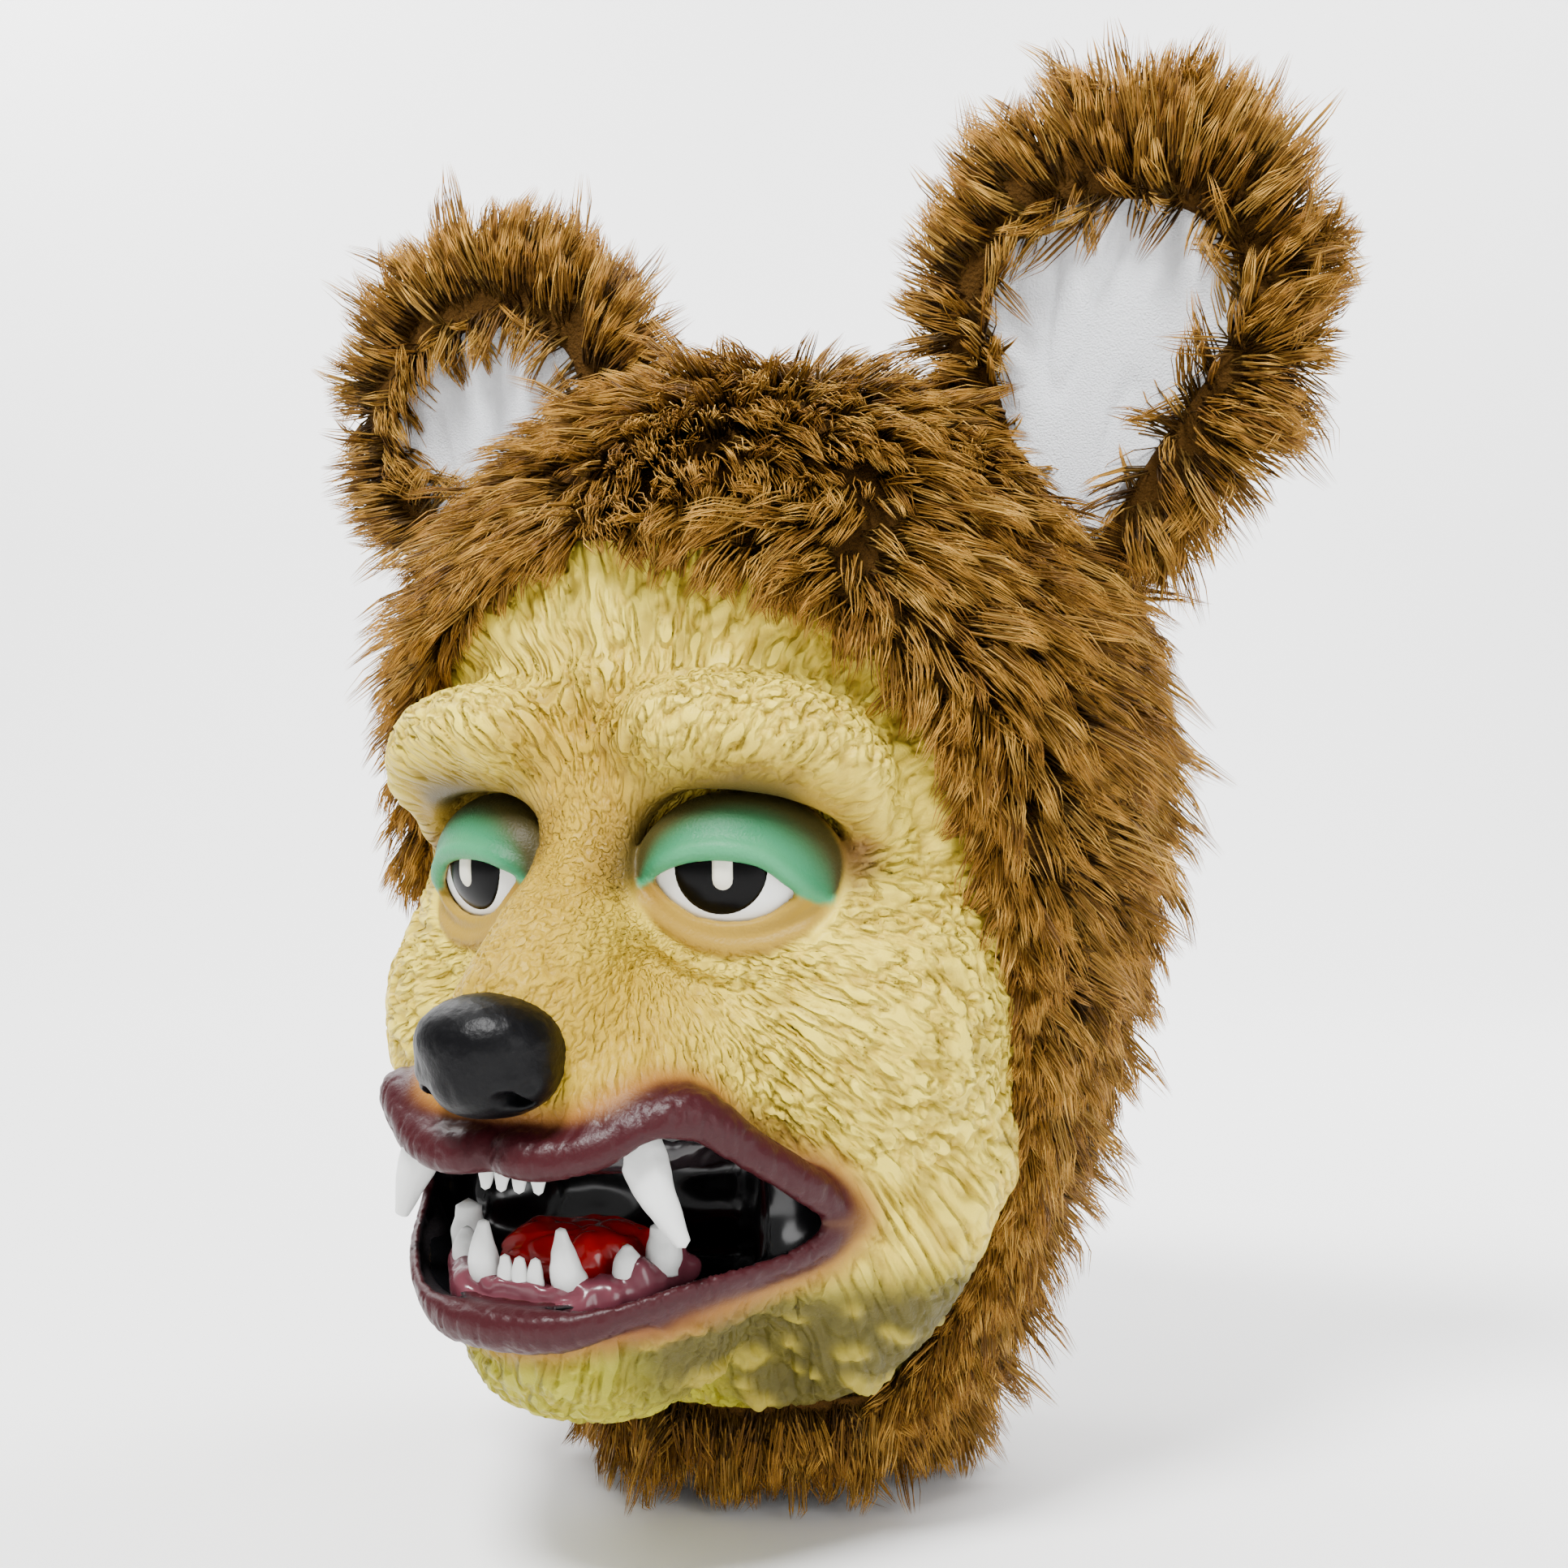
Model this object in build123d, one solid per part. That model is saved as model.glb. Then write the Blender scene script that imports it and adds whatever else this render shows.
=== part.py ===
"""Over-the-head animal costume mask: a moulded latex face set in a faux-fur hood with two sewn ears.

Frame, in millimetres: +Z up, -Y the way the face looks, +X the wearer's left. The origin is the centre of the
neck opening, at the bottom edge of the hood, and the hood is round about the Z axis.
"""

from build123d import *
from math import cos, radians, sin
import os

# ---- Driving dimensions ----
# Outer radius of the hood's fabric and dense pile at each height, from the neck to the crown.
HOOD_PROFILE = [
    (64, 0), (75, 22), (99, 82), (117, 134), (126, 175), (129, 215), (127, 249),
    (119, 277), (106, 302), (89, 323), (67, 341), (38, 353), (0, 358),
]
HOOD_THICK = 12.0  # backing cloth and the dense part of the pile
LINING_THICK = 1.0
SKIN_INSET = 10.0  # how far the latex skin lies under the hood's outer face
LATEX_THICK = 3.0
SEAM_X = 38.0  # half the width of the gusset that runs over the crown to the nape
NECK_BAND_Z = 14.0
NECK_WALL = 3.0
ELASTIC_THICK = 2.0
GAP = 0.3

# Side view of the face opening, as (y, z): in front of this line the mask is latex, behind it is fur.
FACE_EDGE = [(-300, 294), (-106, 294), (-85, 262), (-66, 219), (-33, 133), (-11, 72), (-19, 34), (-37, NECK_BAND_Z),
             (-300, NECK_BAND_Z)]

# Sculpted volumes of the face: name, centre, radii. Those marked True are made on both sides.
SCULPT = [
    ("muzzle", (0, -105, 110), (62, 61, 47), False),
    ("bridge", (0, -117, 186), (24, 32, 66), False),
    ("chin", (0, -109, 66), (49, 57, 38), False),
    ("brow", (52, -101, 225), (42, 28, 21), True),
    ("cheek", (60, -71, 122), (47, 44, 52), True),
]
EYE_CENTRE = (44, -102, 190)
EYE_RADII = (28.0, 15.0, 20.0)
EYE_TURN = 25.0  # degrees that each eye is turned outward
EYE_BACK_Y = -2.0  # the back of the eye, measured in its own turned frame
IRIS_R = 14.0
IRIS_X = -4.9  # how far the iris lies toward the nose from the eye's middle
IRIS_PROUD = 0.8
HIGHLIGHT_W = 6.5
HIGHLIGHT_PROUD = 1.6
LID_OPEN_Z = (-14.5, 2.0)
LID_OPEN_X = (-24.0, 17.0)

NOSE_CENTRE = (0, -170, 139)
NOSE_RADII = (21.5, 18, 18)
NOSTRIL_R = 3.6
NOSTRIL_AT = (9.5, -185, 128)

# Half of the mouth opening seen from the front, as (x, z), from the middle of the upper lip to the lower lip.
MOUTH_EDGE = [(0, 105), (20, 102), (36, 107), (46, 117), (61, 106), (74, 84), (62, 76), (34, 70), (0, 69)]

ARCH_Y = -113.0  # the dental arches are half ellipses in front of this line
UPPER_ARCH = (49.0, 46.0)
LOWER_ARCH = (40.0, 42.0)
GUM_HALF_WIDTH = 3.4
GUM_UPPER_Z = (105.0, 122.0)
GUM_LOWER_Z = (60.0, 72.0)
POCKET_CENTRE_Z = 92.0
POCKET_RADII = (80.0, 31.0)  # half width and half height of the cup behind the lips
POCKET_BACK_Y = -85.0
POCKET_THICK = 2.0
TONGUE = ((0, -123, 70), (26, 24, 11))

EAR_Y = 8.0  # the ears stand in a plane this far behind the origin
EAR_CENTRE = (124, 362)  # middle of the ear seen from the front, as (x, z)
EAR_TILT = 12.0  # degrees that the ear leans outward
EAR_SKEW = 5.0  # the wearer's left ear is sewn this much higher than the right one
EAR_HALF_THICK = 12.0
FOAM_HALF_THICK = 2.0
PLUSH_THICK = 3.0
EAR_CLEAR = 6.5  # the ear's lower edge stays this far off the hood, so that it can bend
SEAM_ROLL_R = 4.0
SEAM_ROLL_LENGTH = 56.0
SEAM_AT = (100.5, 315.0)  # middle of the sewn base seam seen from the front, as (x, z)
SEAM_SLOPE = 51.0  # degrees that the base seam falls outward


# ---- Small helpers ----
def ellipsoid(centre, radii):
    return Pos(*centre) * scale(Sphere(1), by=radii)


def grown(radii, amount):
    return tuple(r + amount for r in radii)


def mirror_x(shape):
    return mirror(shape, about=Plane.YZ)


def both_sides(shape):
    return [shape, mirror_x(shape)]


def largest(shape):
    return shape.solids().sort_by(SortBy.VOLUME)[-1]


def block(x, y, z):
    """A box between the given limits along each axis."""
    size = [high - low for low, high in (x, y, z)]
    middle = [(high + low) / 2 for low, high in (x, y, z)]
    return Pos(*middle) * Box(*size)


def offset_profile(inward):
    """The hood's profile moved inward along its normals, by that many millimetres."""
    moved = []
    last = len(HOOD_PROFILE) - 1
    for i, (r, z) in enumerate(HOOD_PROFILE):
        before, after = HOOD_PROFILE[max(i - 1, 0)], HOOD_PROFILE[min(i + 1, last)]
        along = Vector(after[0] - before[0], after[1] - before[1]).normalized()
        moved.append((r - along.Y * inward, z + along.X * inward))
    moved[0] = (HOOD_PROFILE[0][0] - inward, HOOD_PROFILE[0][1])
    moved[-1] = (0, HOOD_PROFILE[-1][1] - inward)
    return moved


def dome(inward):
    """The solid of revolution inside the hood's profile, moved inward."""
    points = offset_profile(inward)
    top, foot = points[-1], points[0]
    curve = Spline(*points, tangents=[(0.45, 1), (-1, 0)])
    sides = Polyline(top, (0, foot[1]), foot)
    section = make_face([*curve.edges(), *sides.edges()])
    return revolve(Plane.XZ * section, Axis.Z, 360)


def face_window():
    """Everything in front of the line where the latex meets the fur."""
    outline = make_face(Polyline(*FACE_EDGE, close=True))
    return extrude(Plane.YZ * outline, amount=200, both=True)


# ---- The hood ----
def hood_panels(window):
    above_band = block((-200, 200), (-200, 200), (NECK_BAND_Z, 400))
    shell = (dome(0) - dome(HOOD_THICK)) & above_band
    shell = shell - window
    gusset = shell & block((-SEAM_X, SEAM_X), (-200, 200), (0, 400))
    left = shell & block((SEAM_X, 200), (-200, 200), (0, 400))
    lining = (dome(HOOD_THICK) - dome(HOOD_THICK + LINING_THICK)) & above_band
    return {
        "hood_gusset": gusset,
        "hood_left_panel": left,
        "hood_right_panel": mirror_x(left),
        "hood_lining": lining - window,
    }


def ring(outer, inner, bottom, top):
    wall = Cylinder(outer, top - bottom) - Cylinder(inner, top - bottom)
    return Pos(0, 0, (bottom + top) / 2) * wall


def neck_band():
    """The hem round the neck: a folded casing with an elastic band lying in its channel."""
    outer = HOOD_PROFILE[0][0]
    inner = outer - 2 * NECK_WALL - ELASTIC_THICK - 2 * GAP
    casing = ring(outer, inner, 0, NECK_BAND_Z)
    channel = ring(outer - NECK_WALL, inner + NECK_WALL, NECK_WALL, NECK_BAND_Z)
    elastic_outer = outer - NECK_WALL - GAP
    elastic = ring(elastic_outer, elastic_outer - ELASTIC_THICK, NECK_WALL, NECK_BAND_Z - 1)
    return {"neck_casing": casing - channel, "neck_elastic": elastic}


# ---- The latex face ----
def eye_frame():
    """Where the wearer's left eye sits: its own -Y is the way it looks."""
    return Pos(*EYE_CENTRE) * Rot(0, 0, EYE_TURN)


def sculpted(inset):
    """The sculpted volumes and the bulges over the eyes, each smaller all round by inset."""
    made = []
    for _, centre, radii, paired in SCULPT:
        volume = ellipsoid(centre, grown(radii, -inset))
        made += both_sides(volume) if paired else [volume]
    bulge = eye_frame() * ellipsoid((0, 0, 0), grown(EYE_RADII, LATEX_THICK - inset))
    return made + both_sides(bulge)


def mouth_cutter():
    half = MOUTH_EDGE + [(-x, z) for x, z in MOUTH_EDGE[-2:0:-1]]
    outline = make_face(Polyline(*half, close=True))
    return Pos(0, -80, 0) * extrude(Plane.XZ * outline, amount=150)


def face_body(inset, window):
    """The solid under the latex skin's outer face, or with the skin's thickness as inset, the space behind it."""
    body = dome(SKIN_INSET + inset)
    for volume in sculpted(inset):
        body = body + volume
    return body & window


def face_shell(outer, cavity):
    shell = outer - cavity - mouth_cutter()
    slit = eye_frame() * block(LID_OPEN_X, (-80, EYE_BACK_Y), LID_OPEN_Z)
    for cutter in both_sides(slit):
        shell = shell - cutter
    return shell


def eye(side):
    """The eyeball's front, the iris on it and the cream highlight on the iris, each made in the eye's own frame."""
    ball = ellipsoid((0, 0, 0), EYE_RADII)
    iris_face = ellipsoid((0, 0, 0), grown(EYE_RADII, IRIS_PROUD))
    bar_face = ellipsoid((0, 0, 0), grown(EYE_RADII, HIGHLIGHT_PROUD))
    front = block((-60, 60), (-60, EYE_BACK_Y), (-60, 60))
    below_lid = block((-60, 60), (-60, EYE_BACK_Y), (-60, LID_OPEN_Z[1] - GAP))
    look = Pos(IRIS_X, 0, 0) * Rot(90, 0, 0) * Cylinder(IRIS_R, 80)
    bar_low = -6.0
    half = HIGHLIGHT_W / 2
    bar = block((IRIS_X - half, IRIS_X + half), (-60, EYE_BACK_Y), (bar_low, 60))
    rounded = Pos(IRIS_X, 0, bar_low) * Rot(90, 0, 0) * Cylinder(half, 80)
    pieces = {
        "eye": ball & front,
        "iris": (iris_face - ball) & look & below_lid,
        "highlight": (bar_face - iris_face) & (bar + rounded) & below_lid,
    }
    placed = {name: eye_frame() * shape for name, shape in pieces.items()}
    if side == "right":
        placed = {name: mirror_x(shape) for name, shape in placed.items()}
    return {f"{side}_{name}": shape for name, shape in placed.items()}


def nose(outer):
    lump = ellipsoid(NOSE_CENTRE, NOSE_RADII) - outer
    x, y, z = NOSTRIL_AT
    for side in (-1, 1):
        lump = lump - Pos(side * x, y, z) * Rot(75, 0, side * 12) * Cylinder(NOSTRIL_R, 16)
    return largest(lump)


# ---- The mouth ----
def arch(radii, heights):
    """A gum: half of an elliptical ring, open at the back."""
    bottom, top = heights
    a, b = radii
    outer = extrude(Ellipse(a + GUM_HALF_WIDTH, b + GUM_HALF_WIDTH), amount=top - bottom)
    inner = extrude(Ellipse(a - GUM_HALF_WIDTH, b - GUM_HALF_WIDTH), amount=top - bottom)
    front = block((-100, 100), (-100, -4), (0, top - bottom))
    return Pos(0, ARCH_Y, bottom) * ((outer - inner) & front)


def arch_point(radii, x):
    a, b = radii
    return ARCH_Y - b * (1 - (x / a) ** 2) ** 0.5


def fang(root, tip, root_r, tip_r):
    """A blunt cone from root to tip with a round end."""
    start, end = Vector(*root), Vector(*tip)
    along = Plane(origin=start, z_dir=end - start)
    length = (end - start).length
    body = along * Pos(0, 0, length / 2) * Cone(root_r, tip_r, length)
    return body + Pos(*tip) * Sphere(tip_r)


def tooth(x, y, z, width, depth, height, upward):
    """A small blunt tooth with its root at z."""
    middle = z + height / 2 * (1 if upward else -1)
    block_tooth = Pos(x, y, middle) * Box(width, depth, height)
    return fillet(block_tooth.edges().filter_by(Axis.Z), min(width, depth) * 0.3)


def teeth():
    upper_root, lower_root = GUM_UPPER_Z[0], GUM_LOWER_Z[1]
    left = {
        "upper_left_fang": fang((38, -149, upper_root), (49.5, -145, 88), 7.0, 2.2),
        "lower_left_fang": fang((16, arch_point(LOWER_ARCH, 16), lower_root),
                                (14.5, arch_point(LOWER_ARCH, 16) - 2, 87), 5.6, 1.8),
        "lower_left_premolar": fang((30, arch_point(LOWER_ARCH, 30), lower_root),
                                    (30, arch_point(LOWER_ARCH, 30), 80), 4.2, 1.2),
        "lower_left_molar": fang((37.5, arch_point(LOWER_ARCH, 37.5), lower_root),
                                 (38.5, arch_point(LOWER_ARCH, 37.5), 83), 4.6, 2.8),
    }
    both = dict(left)
    for name, shape in left.items():
        both[name.replace("left", "right")] = mirror_x(shape)
    upper = [tooth(x, arch_point(UPPER_ARCH, x), upper_root, 4.6, 3.4, 8.5, False) for x in (-9, -3, 3, 9)]
    lower = [tooth(x, arch_point(LOWER_ARCH, x), lower_root, 4.4, 3.4, 7.5, True) for x in (-5.2, 0, 5.2)]
    both["upper_incisors"] = Compound(children=upper)
    both["lower_incisors"] = Compound(children=lower)
    return both


def mouth_pocket(cavity):
    """The glossy cup behind the lips that closes the mouth at the back."""
    depth = 200
    back = Plane.XZ * Pos(0, POCKET_CENTRE_Z, 0)
    outer = Pos(0, POCKET_BACK_Y, 0) * extrude(back * Ellipse(*POCKET_RADII), amount=depth)
    radii = [r - POCKET_THICK for r in POCKET_RADII]
    inner = Pos(0, POCKET_BACK_Y - POCKET_THICK, 0) * extrude(back * Ellipse(*radii), amount=depth)
    return (outer - inner) & cavity


def mouth(cavity, skin):
    pocket = mouth_pocket(cavity)
    upper_gum = largest((arch(UPPER_ARCH, GUM_UPPER_Z) & cavity) - pocket)
    lower_gum = largest((arch(LOWER_ARCH, GUM_LOWER_Z) & cavity) - pocket)
    pieces = {
        "upper_gum": upper_gum,
        "lower_gum": lower_gum,
        "mouth_pocket": pocket,
        "tongue": largest(ellipsoid(*TONGUE) - pocket),
    }
    for name, shape in teeth().items():
        gum = upper_gum if name.startswith("upper") else lower_gum
        pieces[name] = shape - gum
        if name.startswith("upper") and name.endswith("fang"):
            pieces[name] = largest(pieces[name] - skin)
    return pieces


# ---- The ears, drawn flat and then set on the hood ----
EAR_OUTLINE = [(0, 70), (36, 58), (60, 24), (60, -12), (44, -48), (18, -84), (-18, -84), (-44, -48), (-60, -12),
               (-60, 24), (-36, 58)]
PLUSH_OUTLINE = [(2, 40), (28, 34), (43, 14), (38, -8), (22, -34), (8, -66), (-8, -66), (-22, -34), (-38, -8),
                 (-40, 14), (-24, 34)]


def ear_slab(outline, back, front):
    """An ear outline made into a slab between two depths, the front one nearer the face."""
    section = make_face(Spline(*outline, periodic=True))
    return Pos(0, back, 0) * extrude(Plane.XZ * section, amount=back - front)


def ear_place(side):
    x, z = EAR_CENTRE
    lift = EAR_SKEW if side == "left" else -EAR_SKEW
    sign = 1 if side == "left" else -1
    return Pos(sign * x, EAR_Y, z + lift) * Rot(0, sign * EAR_TILT, 0)


def hinge_line(side):
    """Where the ear bends: a point on its sewn base and the direction of that seam."""
    sign = 1 if side == "left" else -1
    slope = radians(SEAM_SLOPE)
    point = (sign * SEAM_AT[0], EAR_Y, SEAM_AT[1])
    return point, (sign * cos(slope), 0, -sin(slope))


def ear(side):
    point, direction = hinge_line(side)
    roll_plane = Plane(origin=point, z_dir=direction)
    roll = roll_plane * Cylinder(SEAM_ROLL_R, SEAM_ROLL_LENGTH) - dome(0)
    keep_off = dome(-EAR_CLEAR) + roll_plane * Cylinder(SEAM_ROLL_R + 0.5, 200)
    place = ear_place(side)
    full = place * ear_slab(EAR_OUTLINE, EAR_HALF_THICK, FOAM_HALF_THICK)
    rim_hole = place * ear_slab(PLUSH_OUTLINE, 0, -30)
    rim = place * ear_slab(EAR_OUTLINE, -FOAM_HALF_THICK, -EAR_HALF_THICK) - rim_hole
    plush = place * ear_slab(PLUSH_OUTLINE, -FOAM_HALF_THICK, -FOAM_HALF_THICK - PLUSH_THICK)
    core = place * ear_slab([(0.9 * x, 0.9 * z) for x, z in EAR_OUTLINE], FOAM_HALF_THICK, -FOAM_HALF_THICK)
    pieces = {"back": full, "front_rim": rim, "plush": plush, "foam": core}
    made = {f"{side}_ear_seam": roll}
    for name, shape in pieces.items():
        made[f"{side}_ear_{name}"] = largest(shape - keep_off)
    return made


# ---- Everything together ----
def main():
    os.makedirs("parts", exist_ok=True)
    window = face_window()
    outer = face_body(0, window)
    cavity = face_body(LATEX_THICK, window)
    skin = face_shell(outer, cavity)
    nodes = {
        **hood_panels(window),
        **neck_band(),
        "face_shell": skin,
        "nose": nose(outer),
        **eye("left"),
        **eye("right"),
        **mouth(cavity, skin),
        **ear("left"),
        **ear("right"),
    }
    for name, shape in nodes.items():
        export_step(shape, f"parts/{name}.step")
    for side in ("left", "right"):
        print(side, "ear hinge", hinge_line(side))


main()
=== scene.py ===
import bpy
import itertools
import math
import numpy as np
import openvdb
from mathutils import Matrix, Vector


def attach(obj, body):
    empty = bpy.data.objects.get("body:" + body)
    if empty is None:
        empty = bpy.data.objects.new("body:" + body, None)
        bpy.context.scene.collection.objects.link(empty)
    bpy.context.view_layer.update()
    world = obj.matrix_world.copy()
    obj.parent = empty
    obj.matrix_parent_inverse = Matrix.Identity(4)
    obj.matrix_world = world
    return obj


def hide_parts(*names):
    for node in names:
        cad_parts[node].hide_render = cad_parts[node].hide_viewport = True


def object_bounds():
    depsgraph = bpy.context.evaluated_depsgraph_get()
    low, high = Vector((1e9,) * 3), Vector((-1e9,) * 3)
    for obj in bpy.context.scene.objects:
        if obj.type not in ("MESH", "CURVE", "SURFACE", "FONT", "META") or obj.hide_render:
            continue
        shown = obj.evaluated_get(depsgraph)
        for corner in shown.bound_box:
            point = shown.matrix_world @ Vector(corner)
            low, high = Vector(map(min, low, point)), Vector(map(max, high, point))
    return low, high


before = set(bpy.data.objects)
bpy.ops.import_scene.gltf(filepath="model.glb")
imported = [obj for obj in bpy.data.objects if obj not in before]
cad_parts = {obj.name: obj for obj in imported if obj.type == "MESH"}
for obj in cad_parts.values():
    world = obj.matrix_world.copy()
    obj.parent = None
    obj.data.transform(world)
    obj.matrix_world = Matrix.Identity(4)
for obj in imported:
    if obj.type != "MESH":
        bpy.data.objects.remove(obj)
CAD_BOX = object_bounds()

# ---- Driving dimensions, in millimetres, as in the CAD model ----
MM = 0.001
HOOD_PROFILE = [
    (64, 0), (75, 22), (99, 82), (117, 134), (126, 175), (129, 215), (127, 249),
    (119, 277), (106, 302), (89, 323), (67, 341), (38, 353), (0, 358),
]
SKIN_INSET = 10.0
LATEX_THICK = 3.0
FACE_TOP_Z = 294.0
FACE_BOTTOM_Z = 14.0
GUSSET_HALF = 38
FACE_EDGE = [(-37, 14), (-19, 34), (-11, 72), (-33, 133), (-66, 219), (-85, 262), (-106, 294)]
EYE_CENTRE = (44, -102, 190)
EYE_RADII = (28.0, 15.0, 20.0)
EYE_TURN = 25.0
EAR_CENTRE = (124, 362)
EAR_Y = 8.0
EAR_TILT = 12.0
EAR_SKEW = 5.0
EAR_OUTLINE = [
    (0, 70), (36, 58), (60, 24), (60, -12), (44, -48), (18, -84),
    (-18, -84), (-44, -48), (-60, -12), (-60, 24), (-36, 58),
]
PLUSH_OUTLINE = [
    (2, 36), (28, 30), (43, 10), (39, -12), (25, -40), (9, -74),
    (-9, -74), (-25, -40), (-39, -12), (-40, 10), (-24, 30),
]
SIDES = (("left", 1), ("right", -1))


# ---- Numbers: noise, blending and curves ----
def between_corners(table, cell, part, wrap=None):
    """Values between the eight corners of each cell, with part from 0 to 1 along each axis."""
    total = 0
    for corner in itertools.product((0, 1), repeat=3):
        at = cell + corner if wrap is None else (cell + corner) % wrap
        weight = 1
        for axis, far in enumerate(corner):
            weight = weight * (part[..., axis] if far else 1 - part[..., axis])
        total = total + weight * table[at[..., 0], at[..., 1], at[..., 2]]
    return total


class Noise:
    """Smooth random values between -1 and 1 on a wrapped lattice."""

    def __init__(self, seed, size=64):
        self.size = size
        self.table = np.random.default_rng(seed).uniform(-1, 1, (size, size, size)).astype(np.float32)

    def __call__(self, points):
        cell = np.floor(points).astype(np.int64)
        part = (points - cell).astype(np.float32)
        return between_corners(self.table, cell, part * part * (3 - 2 * part), self.size)


def smoothstep(low, high, value):
    part = np.clip((value - low) / (high - low), 0, 1)
    return part * part * (3 - 2 * part)


def smooth_min(a, b, blend):
    overlap = np.maximum(blend - np.abs(a - b), 0) / blend
    return np.minimum(a, b) - overlap * overlap * blend * 0.25


def smooth_max(a, b, blend):
    return -smooth_min(-a, -b, blend)


def unit(vectors):
    return vectors / np.maximum(np.linalg.norm(vectors, axis=-1, keepdims=True), 1e-9)


UP = np.array([0, 0, 1])


def outward(turn):
    """Level directions away from the mask's upright axis, from a turn that is 0 straight ahead."""
    return np.stack([np.sin(turn), -np.cos(turn), 0 * turn], axis=1)


def folded(points):
    """The same places, with those of the right half moved over to the left."""
    return np.column_stack([np.abs(points[:, 0]), points[:, 1:]])


def curve_step(a, b, c, d, t):
    """The Catmull-Rom curve from b to c, at t from 0 to 1."""
    return 0.5 * (2 * b + (c - a) * t + (2 * a - 5 * b + 4 * c - d) * t**2 + (3 * b - a - 3 * c + d) * t**3)


def closed_curve(points, count):
    """A smooth closed curve through the points, as count points."""
    pts = np.array(points, dtype=float)
    n = len(pts)
    at = np.linspace(0, n, count, endpoint=False)
    i = np.floor(at).astype(int)
    return curve_step(*(pts[(i + k) % n] for k in (-1, 0, 1, 2)), (at - i)[:, None])


def open_curve(points, count):
    """A smooth open curve through the points, as count points."""
    pts = np.array(points, dtype=float)
    padded = np.vstack([2 * pts[0] - pts[1], pts, 2 * pts[-1] - pts[-2]])
    at = np.linspace(0, len(pts) - 1, count)
    i = np.minimum(np.floor(at).astype(int), len(pts) - 2)
    return curve_step(*(padded[i + k] for k in range(4)), (at - i)[:, None])


PROFILE_CURVE = open_curve(HOOD_PROFILE, 400)


def hood_radius(z):
    return np.interp(z, PROFILE_CURVE[:, 1], PROFILE_CURVE[:, 0])


def face_edge_y(z):
    """Where, seen from the side, the latex ends and the fur begins."""
    return np.interp(z, [p[1] for p in FACE_EDGE], [p[0] for p in FACE_EDGE])


def eye_coordinates(x, y, z):
    """Across toward the temple, out of the face, and up, in the turned frame of the left eye."""
    turn = math.radians(EYE_TURN)
    dx, dy = x - EYE_CENTRE[0], y - EYE_CENTRE[1]
    across = dx * math.cos(turn) + dy * math.sin(turn)
    return across, dx * math.sin(turn) - dy * math.cos(turn), z - EYE_CENTRE[2]


def eye_place(across, out, up):
    """The other way round: from the left eye's own frame to the mask's."""
    turn = math.radians(EYE_TURN)
    x = EYE_CENTRE[0] + across * math.cos(turn) + out * math.sin(turn)
    y = EYE_CENTRE[1] + across * math.sin(turn) - out * math.cos(turn)
    return np.stack([x, y, EYE_CENTRE[2] + up], axis=-1)


def eye_height(across, up, grown=0.0):
    """How far out the eyeball's face is, with its radii made larger all round."""
    rx, ry, rz = (r + grown for r in EYE_RADII)
    return ry * np.sqrt(np.maximum(1 - (across / rx) ** 2 - (up / rz) ** 2, 0.02))


def eye_rod(points, grown):
    """A chain of (across, up, radius) laid on the eye's face, for rod()."""
    a, b, radius = np.array(points, dtype=float).T
    return np.column_stack([eye_place(a, eye_height(a, b, grown), b), radius]).tolist()


# ---- Meshes ----
NO_TRIANGLES = np.zeros((0, 3), dtype=int)


def as_piece(name, mesh, body):
    """Makes the mesh a smooth-shaded object that rides on a body."""
    mesh.shade_smooth()
    piece = bpy.data.objects.new(name, mesh)
    bpy.context.scene.collection.objects.link(piece)
    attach(piece, body)
    return piece


def make_object(name, verts_mm, faces, body):
    mesh = bpy.data.meshes.new(name)
    mesh.from_pydata((np.asarray(verts_mm) * MM).tolist(), [], [list(f) for f in faces])
    mesh.validate()
    return as_piece(name, mesh, body)


def from_polygons(name, verts_mm, tris, quads, body):
    """A piece from arrays of triangles and quads, which is quick for many faces."""
    loops = np.concatenate([tris.ravel(), quads.ravel()])
    sizes = np.concatenate([np.full(len(tris), 3), np.full(len(quads), 4)])
    mesh = bpy.data.meshes.new(name)
    mesh.vertices.add(len(verts_mm))
    mesh.vertices.foreach_set("co", (np.asarray(verts_mm, dtype=np.float32) * MM).ravel())
    mesh.loops.add(len(loops))
    mesh.loops.foreach_set("vertex_index", np.asarray(loops, dtype=np.int32))
    mesh.polygons.add(len(sizes))
    starts = np.concatenate([[0], np.cumsum(sizes)[:-1]])
    mesh.polygons.foreach_set("loop_start", starts.astype(np.int32))
    mesh.update(calc_edges=True)
    return as_piece(name, mesh, body)


def grid_quads(rows, around):
    """Quads between rows of points that close on themselves."""
    row, k = np.meshgrid(np.arange(rows - 1), np.arange(around), indexing="ij")
    n = (k + 1) % around
    low, high = row * around, (row + 1) * around
    return np.stack([low + k, low + n, high + n, high + k], axis=-1)


def pad_faces(rings, turns, turned):
    """Faces of a closed pad: a front and a back, each of rings from its middle out, joined at the rim."""
    faces = []
    for layer in (0, 1):
        base = layer * (rings + 1) * turns
        for ring, k in itertools.product(range(rings), range(turns)):
            n = (k + 1) % turns
            inner, outer = base + ring * turns, base + (ring + 1) * turns
            quad = (inner + k, inner + n, outer + n, outer + k)
            faces.append(quad if layer == turned else quad[::-1])
    top, bottom = rings * turns, (2 * rings + 1) * turns
    for k in range(turns):
        n = (k + 1) % turns
        quad = (top + k, bottom + k, bottom + n, top + n)
        faces.append(quad if turned else quad[::-1])
    return faces


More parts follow.
